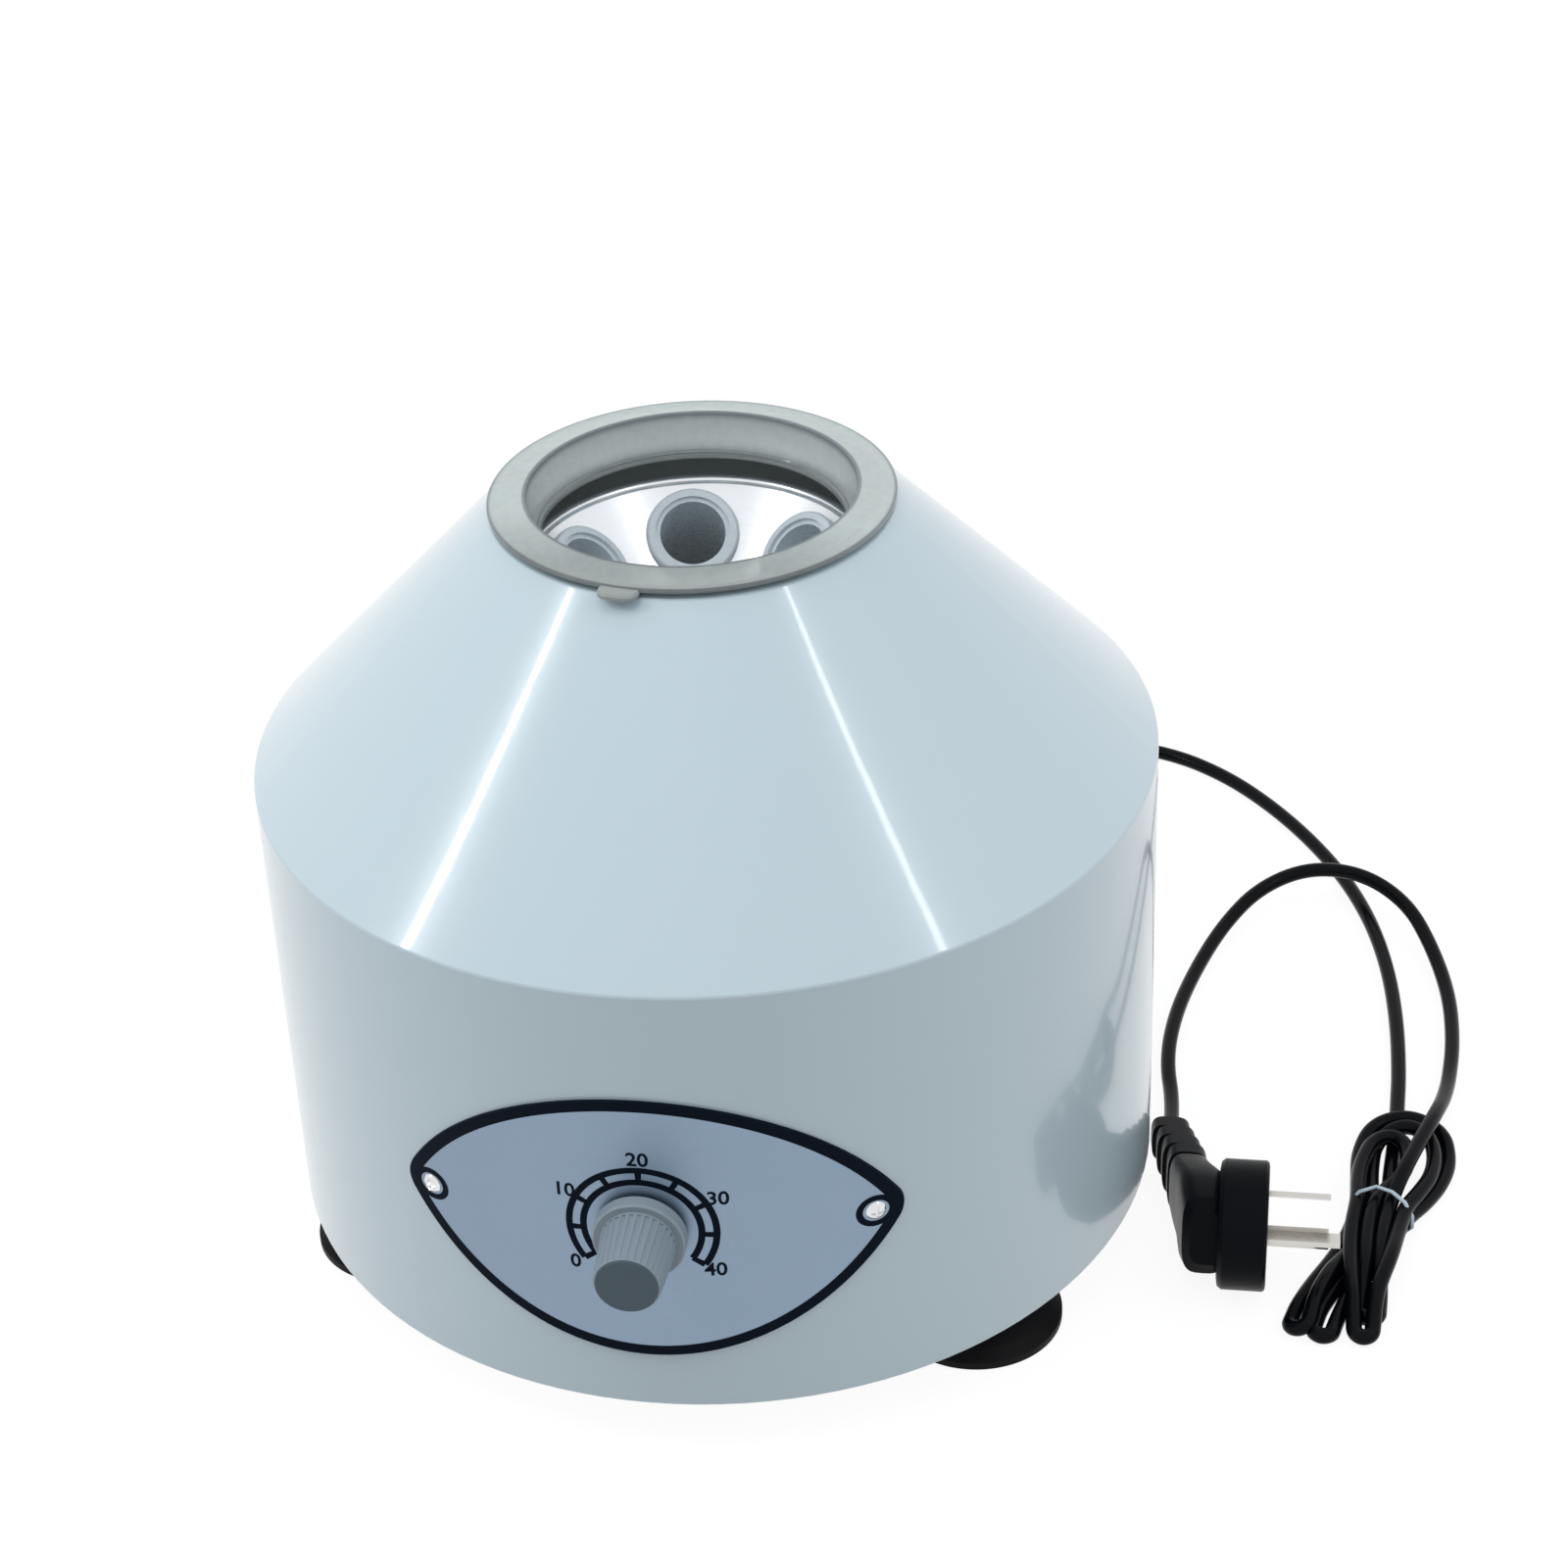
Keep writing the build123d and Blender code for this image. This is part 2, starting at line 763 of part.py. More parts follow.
def speed_pot():
    """Speed control: can, switch behind it, lugs below and threaded bush through the wall."""
    face = -pot_face_y
    body = cylinder(pot_radius, face - pot_depth, face)
    body += cylinder(switch_radius, face - pot_depth - switch_depth, face - pot_depth)
    body += cylinder(pot_bush_radius, face, plate_outer + pot_bush_reach)
    for step in (-1, 0, 1):
        x = step * pot_lug_pitch
        lug_low = -pot_radius - pot_lug_length
        body += block(
            (x - pot_lug_width / 2, lug_low, face - pot_lug_inset - pot_lug_thickness / 2),
            (x + pot_lug_width / 2, -pot_radius / 2, face - pot_lug_inset + pot_lug_thickness / 2),
        )
    bore_start = face - pot_depth + pot_floor
    body -= cylinder(pot_shaft_radius + pot_shaft_gap, bore_start, plate_outer + pot_bush_reach + 1)
    return facing_front(dial_z) * body


def pot_nut():
    """Thin nut on the speed control's bush, on the front of the plate."""
    low = plate_outer + pot_nut_gap
    nut = hexagon(pot_nut_size, low, low + pot_nut_thickness, pot_bush_radius + fit_gap)
    return facing_front(dial_z) * nut


def pot_shaft():
    """Turning shaft of the speed control, held in the knob."""
    start = -pot_face_y - pot_depth + pot_floor + pot_shaft_end_gap
    end = -knob_base_y + knob_recess_depth + knob_shaft_depth - pot_shaft_end_gap
    return facing_front(dial_z) * cylinder(pot_shaft_radius, start, end)


def speed_knob():
    """Fluted knob on a round skirt, hollow behind, with a bore for its cap's stem."""
    base = -knob_base_y
    skirt_top = base + knob_skirt_height
    tip = base + knob_length
    body = turned(
        (0, base),
        (knob_skirt_radius - knob_skirt_edge, base),
        (knob_skirt_radius, base + knob_skirt_edge),
        (knob_skirt_radius, skirt_top - knob_skirt_edge),
        (knob_skirt_radius - knob_skirt_edge, skirt_top),
        (knob_base_radius, skirt_top),
        (knob_tip_radius, tip - knob_tip_edge),
        (knob_tip_radius - knob_tip_edge, tip),
        (0, tip),
    )
    for number in range(knob_flutes):
        groove = rod(
            knob_flute_radius,
            (knob_base_radius + knob_flute_outset, 0, base + knob_flute_start),
            (knob_tip_radius + knob_flute_outset, 0, tip + 1),
        )
        body -= Rot(0, 0, 360.0 / knob_flutes * number) * groove
    body -= cylinder(knob_recess_radius, base - 1, base + knob_recess_depth)
    shaft_end = base + knob_recess_depth + knob_shaft_depth
    body -= cylinder(pot_shaft_radius + fit_gap, base, shaft_end)
    body -= cylinder(knob_cap_stem_radius + fit_gap, tip - knob_cap_inset, tip + 1)
    return facing_front(dial_z) * body


def knob_cap():
    """Flat cap over the knob's end, its stem pressed in."""
    tip = -knob_base_y + knob_length
    cap = cylinder(knob_cap_radius, tip, tip + knob_cap_proud)
    cap = chamfer(cap.edges().sort_by(Axis.Z)[-1], knob_cap_edge)
    stem = cylinder(knob_cap_stem_radius, tip - knob_cap_inset, tip)
    return facing_front(dial_z) * (cap + stem)


# Rotor
dish_rise = 1 / tan(radians(tube_slope))
socket_z = rotor_seat_z + (tube_circle - dish_flat_radius) * dish_rise
rim_z = rotor_seat_z + (dish_rim_radius - dish_flat_radius) * dish_rise
sheet_out = rotor_sheet * cos(radians(tube_slope))
sheet_down = rotor_sheet * sin(radians(tube_slope))
bend_shift = rotor_sheet * tan(radians((90 - tube_slope) / 2))
bead_centre = (dish_rim_radius + sheet_out / 2, rim_z - sheet_down / 2)
skirt_top = (bead_centre[0] + rotor_sheet, bead_centre[1] - rim_bead_radius - sheet_joint_gap)
skirt_low = (skirt_radius, skirt_low_z)
skirt_run = hypot(skirt_low[0] - skirt_top[0], skirt_low[1] - skirt_top[1])
skirt_in = (
    (skirt_low[1] - skirt_top[1]) / skirt_run * rotor_sheet,
    -(skirt_low[0] - skirt_top[0]) / skirt_run * rotor_sheet,
)
sleeve_radius = sleeve_bore + sleeve_wall
dish_bottom_z = rotor_seat_z - rotor_sheet
floor_low_z = rotor_floor_z - rotor_sheet
washer_low_z = rotor_seat_z + number_ring_thickness
nut_low_z = washer_low_z + washer_thickness


def socket_holes(radius, depth_low, depth_high):
    """Round cutters along the six tube axes."""
    cutters = [tube_place(number) * cylinder(radius, depth_low, depth_high) for number in range(tube_count)]
    return Compound(cutters)


def rotor_dish():
    """Concave top of the rotor with a rolled rim and six slanted holes."""
    sheet = turned(
        (stud_radius + stud_gap, rotor_seat_z),
        (dish_flat_radius, rotor_seat_z),
        (dish_rim_radius, rim_z),
        (dish_rim_radius + sheet_out, rim_z - sheet_down),
        (dish_flat_radius + bend_shift, dish_bottom_z),
        (stud_radius + stud_gap, dish_bottom_z),
    )
    bead = Pos(0, 0, bead_centre[1]) * Torus(bead_centre[0], rim_bead_radius)
    return sheet + bead - socket_holes(sleeve_radius + sleeve_hole_gap, -8, 8)


def dish_seat():
    """Everything below the dish's upper face, which shapes the sleeves' collars."""
    low = rotor_seat_z - sleeve_length
    return turned(
        (0, rotor_seat_z + sheet_joint_gap),
        (dish_flat_radius, rotor_seat_z + sheet_joint_gap),
        (dish_rim_radius, rim_z + sheet_joint_gap),
        (dish_rim_radius, low),
        (0, low),
    )


def rotor_skirt():
    """Outer cone of the rotor with a rolled lower edge."""
    inner_top = (skirt_top[0] + skirt_in[0], skirt_top[1] + skirt_in[1])
    inner_low = (skirt_low[0] + skirt_in[0], skirt_low[1] + skirt_in[1])
    cone = turned(skirt_top, skirt_low, inner_low, inner_top)
    edge = on_line(skirt_low, inner_low, 0.5)
    return cone + Pos(0, 0, edge[1]) * Torus(edge[0], skirt_bead_radius)


def rotor_floor():
    """Lower sheet: a flat middle under the hub and a cone that holds the sleeves' lower ends."""
    depth = radians(tube_slope)
    seat_radius = tube_circle + cradle_depth * cos(depth)
    seat_z = socket_z - cradle_depth * sin(depth)
    bend_radius = seat_radius - (seat_z - rotor_floor_z) / dish_rise
    lean = (skirt_low[0] - skirt_top[0]) / (skirt_low[1] - skirt_top[1])
    inner_edge = skirt_top[0] + skirt_in[0] - lean * (skirt_top[1] + skirt_in[1])
    meeting_radius = (inner_edge + lean * (seat_z - seat_radius * dish_rise)) / (1 - lean * dish_rise)
    outer_radius = meeting_radius - floor_edge_gap
    outer_z = seat_z + (outer_radius - seat_radius) * dish_rise
    bore = shaft_radius + fit_gap
    sheet = turned(
        (bore, rotor_floor_z),
        (bend_radius, rotor_floor_z),
        (outer_radius, outer_z),
        (outer_radius, outer_z - rotor_sheet / sin(depth)),
        (bend_radius + bend_shift, floor_low_z),
        (bore, floor_low_z),
    )
    return sheet - socket_holes(sleeve_radius + sleeve_hole_gap, -cradle_depth - 8, -cradle_depth + 8)


def rotor_hub():
    """Spool that joins the dish to the floor round the shaft."""
    bore = shaft_radius + fit_gap
    return turned(
        (bore, rotor_floor_z),
        (hub_foot_radius, rotor_floor_z),
        (hub_foot_radius, rotor_floor_z + hub_flange),
        (hub_neck_radius, rotor_floor_z + hub_flange + hub_bevel),
        (hub_neck_radius, dish_bottom_z - hub_flange - hub_bevel),
        (hub_head_radius, dish_bottom_z - hub_flange),
        (hub_head_radius, dish_bottom_z),
        (bore, dish_bottom_z),
    )


def tube_sleeve():
    """Tube sleeve with a stepped collar and a round closed end, mouth towards +Z."""
    shaft = cylinder(sleeve_radius, -sleeve_length + sleeve_radius, 0)
    shaft += Pos(0, 0, -sleeve_length + sleeve_radius) * Sphere(sleeve_radius)
    collar = cylinder(sleeve_collar_radius, -sleeve_collar_sink, sleeve_collar_height)
    collar = fillet(collar.edges().sort_by(Axis.Z)[-1], sleeve_collar_round)
    collar -= tube_place(0).inverse() * dish_seat()
    bore = cylinder(sleeve_bore, -sleeve_length + sleeve_radius, sleeve_collar_height + 1)
    bore += Pos(0, 0, -sleeve_length + sleeve_radius) * Sphere(sleeve_bore)
    lip_low = sleeve_collar_height - sleeve_lip_depth
    step = cylinder(sleeve_bore + sleeve_lip_step, lip_low, sleeve_collar_height + 1)
    neck = cylinder(sleeve_radius, -1, lip_low)
    return shaft + neck + collar - bore - step


def dome_nut():
    """Hexagonal cap nut with a round dome, blind inside."""
    corner = nut_across_flats / sqrt(3)
    top = nut_low_z + nut_hex_height
    hexed = hexagon(nut_across_flats, nut_low_z, top, 0)
    dressed = turned(
        (0, nut_low_z),
        (corner - nut_chamfer[0], nut_low_z),
        (corner, nut_low_z + nut_chamfer[1]),
        (corner, top - nut_shoulder[1]),
        (corner - nut_shoulder[0], top),
        (0, top),
    )
    dome = cylinder(nut_dome_radius, top, top + nut_dome_height - nut_dome_radius)
    dome += Pos(0, 0, top + nut_dome_height - nut_dome_radius) * Sphere(nut_dome_radius)
    dome &= cylinder(nut_dome_radius + 1, top - 0.01, top + nut_dome_height + 1)
    return (hexed & dressed) + dome - cylinder(stud_radius + fit_gap, nut_low_z - 1, top + nut_bore_rise)


def motor_shaft():
    """Motor shaft with the collar under the rotor's floor and the stud for the cap nut."""
    return turned(
        (0, shaft_low_z),
        (shaft_radius, shaft_low_z),
        (shaft_radius, floor_low_z - shaft_collar_height),
        (shaft_collar_radius, floor_low_z - shaft_collar_height),
        (shaft_collar_radius, floor_low_z),
        (shaft_radius, floor_low_z),
        (shaft_radius, dish_bottom_z - stud_step_gap),
        (stud_radius, dish_bottom_z - stud_step_gap),
        (stud_radius, nut_low_z + nut_hex_height),
        (0, nut_low_z + nut_hex_height),
    )


# Bearings
def bearing_heights():
    """Lower faces of the two bearings."""
    return [low_bearing_z, top_bearing_z]


def outer_ring(low):
    """Outer ring of a ball bearing with its race."""
    race = Pos(0, 0, low + bearing_height / 2) * Torus(bearing_pitch, ball_radius + race_gap)
    return ring(bearing_pitch + ring_land, bearing_radius, low, low + bearing_height) - race


def inner_ring(low):
    """Inner ring of a ball bearing with its race."""
    race = Pos(0, 0, low + bearing_height / 2) * Torus(bearing_pitch, ball_radius + race_gap)
    return ring(shaft_radius + fit_gap, bearing_pitch - ring_land, low, low + bearing_height) - race


def bearing_balls(low):
    """Balls of one bearing."""
    middle = low + bearing_height / 2
    places = [360.0 / ball_count * number for number in range(ball_count)]
    return [Rot(0, 0, angle) * Pos(bearing_pitch, 0, middle) * Sphere(ball_radius) for angle in places]


# Motor
def tie_bolt_places():
    """The two tie bolts stand between the poles."""
    return [at_azimuth(azimuth, tie_bolt_circle) for azimuth in (0, 180)]


def tie_bolt_holes(low, high):
    """Cutters for the tie bolts."""
    hole = cylinder(tie_bolt_radius + bolt_hole_gap, low, high)
    return Compound([place * hole for place in tie_bolt_places()])


def motor_bottom_cap():
    """Cast cup with the lower bearing's seat and windows for the brush holders."""
    top = can_low_z
    boss_top = low_bearing_z + bearing_height
    cup = cylinder(motor_radius, motor_low_z, top)
    cup -= cylinder(motor_radius - cap_wall, motor_low_z + cap_floor, top + 1)
    cup += cylinder(cap_boss_radius, motor_low_z, boss_top)
    cup -= cylinder(bearing_radius + fit_gap, low_bearing_z, boss_top + 1)
    cup -= cylinder(shaft_radius + cap_shaft_gap, motor_low_z + cap_seat_wall, boss_top)
    envelope = cylinder(motor_radius, motor_low_z, top)
    for place in tie_bolt_places():
        cup += place * cylinder(tie_bolt_radius + tie_bolt_wall, motor_low_z, top) & envelope
    cup -= tie_bolt_holes(motor_low_z - 1, top + 1)
    across = brush_width / 2 + brush_slide_gap + holder_wall + cap_window_gap
    high = brush_height / 2 + brush_slide_gap + holder_wall + cap_window_gap
    reach = motor_radius + 1
    cup -= block((-reach, -across, brush_z - high), (reach, across, brush_z + high))
    return cup


def motor_top_cap():
    """Cast cup upside down with the upper bearing's seat and air windows."""
    roof = motor_top_z - cap_floor
    cup = cylinder(motor_radius, can_top_z, motor_top_z)
    cup -= cylinder(motor_radius - cap_wall, can_top_z - 1, roof)
    cup += cylinder(cap_boss_radius, top_bearing_z, motor_top_z)
    cup -= cylinder(bearing_radius + fit_gap, top_bearing_z - 1, top_bearing_z + bearing_height)
    cup -= cylinder(shaft_radius + cap_shaft_gap, top_bearing_z, motor_top_z + 1)
    middle = (can_top_z + roof) / 2
    window = block(
        (motor_radius - cap_wall - 2, -cap_window_width / 2, middle - cap_window_height / 2),
        (motor_radius + 1, cap_window_width / 2, middle + cap_window_height / 2),
    )
    for number in range(cap_window_count):
        cup -= Rot(0, 0, 360.0 / cap_window_count * (number + 0.5)) * window
    envelope = cylinder(motor_radius, can_top_z, motor_top_z)
    for place in tie_bolt_places():
        cup += place * cylinder(tie_bolt_radius + tie_bolt_wall, can_top_z, roof + 1) & envelope
    return cup - tie_bolt_holes(can_top_z - 1, motor_top_z + 1)


def tie_bolt():
    """Long bolt that clamps the caps, the can and the bracket together."""
    low = bracket_z - bolt_head_height
    shank = cylinder(tie_bolt_radius, low, motor_top_z + tie_nut_height + bolt_end)
    return shank + cylinder(tie_bolt_head, low, bracket_z)


def tie_nut():
    """Nut of a tie bolt, on the top cap."""
    return hexagon(tie_nut_size, motor_top_z, motor_top_z + tie_nut_height, tie_bolt_radius + fit_gap)


def sector(inner, outer, low, high, half_angle):
    """Part of a ring that spans an angle either side of +X."""
    full = ring(inner, outer, low, high)
    reach = 3 * outer
    edge = reach * sin(radians(half_angle))
    front = reach * cos(radians(half_angle))
    wedge = Polygon((0, 0), (front, -edge), (reach, -edge), (reach, edge), (front, edge), align=None)
    return full & Pos(0, 0, low - 1) * extrude(wedge, high - low + 2)


def stator_core():
    """Laminated ring with two poles."""
    high = core_low_z + core_height
    core = ring(core_outer - core_ring_width, core_outer, core_low_z, high)
    for turn in (0, 180):
        core += Rot(0, 0, turn) * sector(core_bore, core_outer - 1, core_low_z, high, pole_half_angle)
    return core - tie_bolt_holes(core_low_z - 1, high + 1)


def field_coil():
    """Winding bent round one pole, on the +X side."""
    inner = core_bore + coil_pole_step
    low = core_low_z - coil_overhang
    high = core_low_z + core_height + coil_overhang
    clear = pole_half_angle + degrees(coil_gap / inner)
    whole = sector(inner, coil_outer, low, high, coil_half_angle)
    window_high = high - coil_overhang + coil_gap
    window = sector(inner - 1, coil_outer + 1, core_low_z - coil_gap, window_high, clear)
    return whole - window


def armature_core():
    """Slotted iron pack of the armature."""
    high = armature_low_z + armature_height
    pack = ring(shaft_radius + fit_gap, armature_radius, armature_low_z, high)
    slot = block(
        (armature_radius - armature_slot_depth, -armature_slot_width / 2, armature_low_z - 1),
        (armature_radius + 1, armature_slot_width / 2, high + 1),
    )
    for number in range(armature_slot_count):
        pack -= Rot(0, 0, 360.0 / armature_slot_count * number) * slot
    return pack


def winding_head(low):
    """Rounded end turns of the armature winding."""
    head = ring(shaft_radius + winding_bore_gap, winding_radius, low, low + winding_height)
    return fillet(head.edges().filter_by(GeomType.CIRCLE), winding_round)


def commutator():
    """Copper segments round the shaft, parted by narrow grooves."""
    low = brush_z - commutator_height / 2
    drum = ring(shaft_radius + fit_gap, commutator_radius, low, low + commutator_height)
    groove = block(
        (commutator_radius - bar_groove_depth, -bar_groove / 2, low - 1),
        (commutator_radius + 1, bar_groove / 2, low + commutator_height + 1),
    )
    for number in range(commutator_bars):
        drum -= Rot(0, 0, 360.0 / commutator_bars * number) * groove
    return drum


def cooling_fan():
    """Flat fan with upright blades under the top bearing."""
    low = armature_low_z + armature_height + winding_height + fan_lift
    high = low + fan_height
    fan = ring(shaft_radius + fit_gap, fan_radius, low, low + fan_disc)
    fan += ring(shaft_radius + fit_gap, shaft_radius + fan_hub_wall, low, high)
    half = fan_blade_width / 2
    blade = block((winding_radius, -half, low), (fan_radius - fan_blade_inset, half, high))
    for number in range(fan_blades):
        fan += Rot(0, 0, 360.0 / fan_blades * number) * blade
    return fan


def brush_holder():
    """Square brass tube with a closed outer end, along +X."""
    across = brush_width / 2 + brush_slide_gap
    high = brush_height / 2 + brush_slide_gap
    shell = block(
        (holder_start, -across - holder_wall, brush_z - high - holder_wall),
        (holder_end, across + holder_wall, brush_z + high + holder_wall),
    )
    channel_low = (holder_start - 1, -across, brush_z - high)
    return shell - block(channel_low, (holder_end - holder_cap, across, brush_z + high))


def carbon_brush():
    """Carbon brush that slides in its holder and meets the commutator."""
    start = commutator_radius + brush_air_gap
    return block(
        (start, -brush_width / 2, brush_z - brush_height / 2),
        (start + brush_length, brush_width / 2, brush_z + brush_height / 2),
    )


def brush_spring():
    """Coil spring between a brush and its holder's end."""
    start = commutator_radius + brush_air_gap + brush_length + spring_wire / 2 + spring_gap
    end = holder_end - holder_cap - spring_wire / 2 - spring_gap
    run = end - start
    coil = Helix(run / spring_turns, run, spring_radius)
    section = Plane(origin=coil @ 0, z_dir=coil % 0) * Circle(spring_wire / 2)
    wire = sweep(section, path=coil, is_frenet=True)
    return Pos(start, 0, brush_z) * Rot(0, 90, 0) * wire


def motor_bracket():
    """Round steel plate between the motor and its rubber bushes."""
    plate = cylinder(bracket_radius, bracket_z, bracket_z + bracket_thickness)
    cut_low, cut_high = bracket_z - 1, bracket_z + bracket_thickness + 1
    hole = cylinder(bush_bolt_radius + bolt_hole_gap, cut_low, cut_high)
    for azimuth in bush_azimuths():
        plate -= at_azimuth(azimuth, bush_circle) * hole
    return plate - tie_bolt_holes(cut_low, cut_high)


def mount_bush():
    """Waisted rubber bush under the bracket."""
    low, high = base_top_z, bracket_z
    middle = (low + high) / 2
    bore = bush_bolt_radius + fit_gap
    return turned(
        (bore, low),
        (bush_radius, low),
        (bush_radius, low + bush_lip),
        (bush_radius - bush_waist, middle),
        (bush_radius, high - bush_lip),
        (bush_radius, high),
        (bore, high),
    )


def mount_bolt():
    """Bolt of a bush, head under the floor."""
    high = bracket_z + bracket_thickness + bush_nut_height + bolt_end
    return cylinder(bush_bolt_radius, base_low_z - bolt_head_height, high) + cylinder(
        bush_bolt_head, base_low_z - bolt_head_height, base_low_z
    )


def mount_nut():
    """Nut of a bush bolt, on the bracket."""
    low = bracket_z + bracket_thickness
    return hexagon(bush_nut_size, low, low + bush_nut_height, bush_bolt_radius + fit_gap)


# Speed controller
def control_board():
    """Circuit board with its terminal block."""
    board = block(
        (-board_width / 2, board_centre_y - board_depth / 2, board_low_z),
        (board_width / 2, board_centre_y + board_depth / 2, board_top_z),
    )
    for place in board_places():
        board -= place * cylinder(board_pin_radius + board_hole_gap, board_low_z - 1, board_top_z + 1)
    rear = board_centre_y + board_depth / 2
    return board + block(
        (-terminal_width / 2, rear - terminal_depth - terminal_inset, board_top_z),
        (terminal_width / 2, rear - terminal_inset, board_top_z + terminal_height),
    )


def board_post():
    """Plastic post with a pin at each end."""
    post = cylinder(board_post_radius, base_top_z, board_low_z)
    return post + cylinder(board_pin_radius, base_low_z - board_pin_foot, board_top_z + board_pin_end)


def triac_heatsink():
    """Finned aluminium block, upright on the board."""
    low, high = board_top_z, board_top_z + heatsink_height
    back = board_centre_y - heatsink_depth / 2
    left = heatsink_x - heatsink_width / 2
    sink = block((left, back, low), (left + heatsink_width, back + heatsink_wall, high))
    pitch = (heatsink_width - fin_thickness) / (heatsink_fins - 1)
    for number in range(heatsink_fins):
        x = left + pitch * number
        sink += block((x, back, low), (x + fin_thickness, back + heatsink_depth, high))
    return sink


def triac():
    """Power switch bolted to the back of the heat sink."""
    back = board_centre_y - heatsink_depth / 2
    low = board_top_z + triac_lift
    return block(
        (heatsink_x - triac_width / 2, back - triac_thickness, low),
        (heatsink_x + triac_width / 2, back, low + triac_height),
    )


def board_capacitor():
    """Boxed film capacitor."""
    box = Box(capacitor_width, capacitor_depth, capacitor_height)
    box = Pos(capacitor_x, board_centre_y, board_top_z + capacitor_height / 2) * box
    return fillet(box.edges().filter_by(Axis.Z) + box.edges().group_by(Axis.Z)[-1], capacitor_edge)


def wire(*points):
    """Round insulated wire through hand-chosen points."""
    path = FilletPolyline(*points, radius=wire_bend)
    section = Plane(origin=path @ 0, z_dir=path % 0) * Circle(wire_radius)
    return sweep(section, path=path)


def internal_wires():
    """Leads from the cord to the board, from the board to the brushes, and from the speed control."""
    leads = []
    rear = board_centre_y + board_depth / 2
    for step in (0, 1):
        x, lane = wire_start_x - wire_pitch * step, wire_lane + wire_lane_pitch * step
        end_x = wire_end_x * (2 * step - 1)
        drop_z = board_top_z + wire_drop_lift + wire_stagger * step
        leads.append(
            wire(
                (x, gland_end_y, gland_z),
                (x, lane + wire_swing, gland_z),
                (-lane * 0.8, lane * 0.62, gland_z),
                (-lane, wire_turn_y - wire_stagger * step, gland_z),
                (-lane * 0.66, wire_cross_y, board_top_z + wire_cross_lift),
                (end_x, rear - wire_board_inset, drop_z),
                (end_x, rear - wire_board_inset, board_top_z + terminal_height),
            )
        )
    corner_x, corner_y = earth_wire_corner
    leads.append(
        wire(
            (earth_wire_x, gland_end_y, gland_z),
            (earth_wire_x, corner_y + earth_wire_swing, gland_z),
            (corner_x, corner_y, gland_z - wire_stagger),
            (corner_x, corner_y, base_top_z),
        )
    )
    for side in (-1, 1):
        bend_x, end_x = side * (holder_end + brush_wire_reach), side * brush_wire_end_x
        leads.append(
            wire(
                (side * holder_end, 0, brush_z),
                (bend_x, 0, brush_z),
                (bend_x, wire_cross_y, brush_z - wire_stagger),
                (end_x, rear - wire_board_inset, brush_z - wire_stagger),
                (end_x, rear - wire_board_inset, board_top_z),
            )
        )
    lug_y = pot_face_y + pot_lug_inset
    lug_z = dial_z - pot_radius - pot_lug_length
    front = board_centre_y - board_depth / 2 + wire_board_inset
    for step in (-1, 0, 1):
        x, low = step * pot_lug_pitch, lug_z - pot_wire_drop
        front_low = (x, front, low - wire_stagger)
        leads.append(wire((x, lug_y, lug_z), (x, lug_y, low), front_low, (x, front, board_top_z)))
    return leads


# Mains cord
def cord_gland():
    """Moulded strain relief through the rear wall, in line with +Y."""
    wall_in = inner_radius - gland_wall_gap
    wall_out = housing_radius + gland_face_gap
    shape = turned(
        (0, gland_end_y),
        (gland_flange_radius, gland_end_y),
        (gland_flange_radius, wall_in),
        (gland_neck_radius, wall_in),
        (gland_neck_radius, wall_out),
        (gland_flange_radius, wall_out),
        (gland_flange_radius, wall_out + gland_flange_thickness),
        (gland_root_radius, wall_out + gland_flange_thickness + gland_root_step),
        (gland_tip_radius, gland_tip_y),
        (0, gland_tip_y),
    )
    start = wall_out + gland_flange_thickness + gland_groove_start
    pitch = (gland_tip_y - start - gland_groove_end) / gland_grooves
    for number in range(gland_grooves):
        low = start + pitch * number
        share = (low - start) / (gland_tip_y - start)
        radius = gland_root_radius + (gland_tip_radius - gland_root_radius) * share
        shape -= ring(radius - gland_groove_depth, radius + 3, low, low + gland_groove_width)
    return Pos(0, 0, gland_z) * Rot(-90, 0, 0) * shape


def bend_radii(points):
    """Largest tangent arcs that the runs of a cord allow, one for each corner."""
    radii = []
    for before, corner, after in zip(points, points[1:], points[2:]):
        first = Vector(*corner) - Vector(*before)
        second = Vector(*after) - Vector(*corner)
        turn = radians(first.get_angle(second))
        radii.append(0.45 * min(first.length, second.length) / tan(turn / 2))
    return radii


def cord_tube(name, points):
    """Cord along straight runs joined by tangent arcs."""
    radii = bend_radii(points)
    path = FilletPolyline(*points, radius=radii)
    section = Plane(origin=path @ 0, z_dir=path % 0) * Circle(cord_radius)
    tube = sweep(section, path=path)
    round_area = pi * cord_radius**2
    share = tube.volume / (round_area * path.length)
    print(name, "length", round(path.length, 1), "volume share", round(share, 5))
    print(name, "radii", [round(radius) for radius in radii])
    return tube


def tie_place():
    """Frame of the hank's tie, +Y along the bundle."""
    return Pos(tie_centre[0], tie_centre[1], 0) * Rot(0, 0, tie_turn)


def tie_section(width, height, low, length):
    """Rounded bar along the bundle, for the tie and the waist it grips."""
    outline = RectangleRounded(width, height, height / 2 - tie_corner)
    return Pos(0, length / 2, low + height / 2) * Rot(90, 0, 0) * extrude(outline, length)


def cord_hank():
    """Outer shape of the tied hank: a wide loop end, a waist under the tie and two folds."""
    bundle = extrude(make_face(Spline(*hank_outline, periodic=True)), hank_height)
    flat_edges = bundle.edges().group_by(Axis.Z)[0] + bundle.edges().group_by(Axis.Z)[-1]
    bundle = fillet(flat_edges, hank_edge_round)
    reach = 2 * tie_inner_width
    half = tie_width / 2 + tie_play
    around = tie_place() * block((-reach, -half, -1), (reach, half, hank_height + 1))
    waist = tie_place() * tie_section(tie_inner_width, tie_inner_height, tie_thickness, tie_width + 2)
    return bundle - (around - waist)


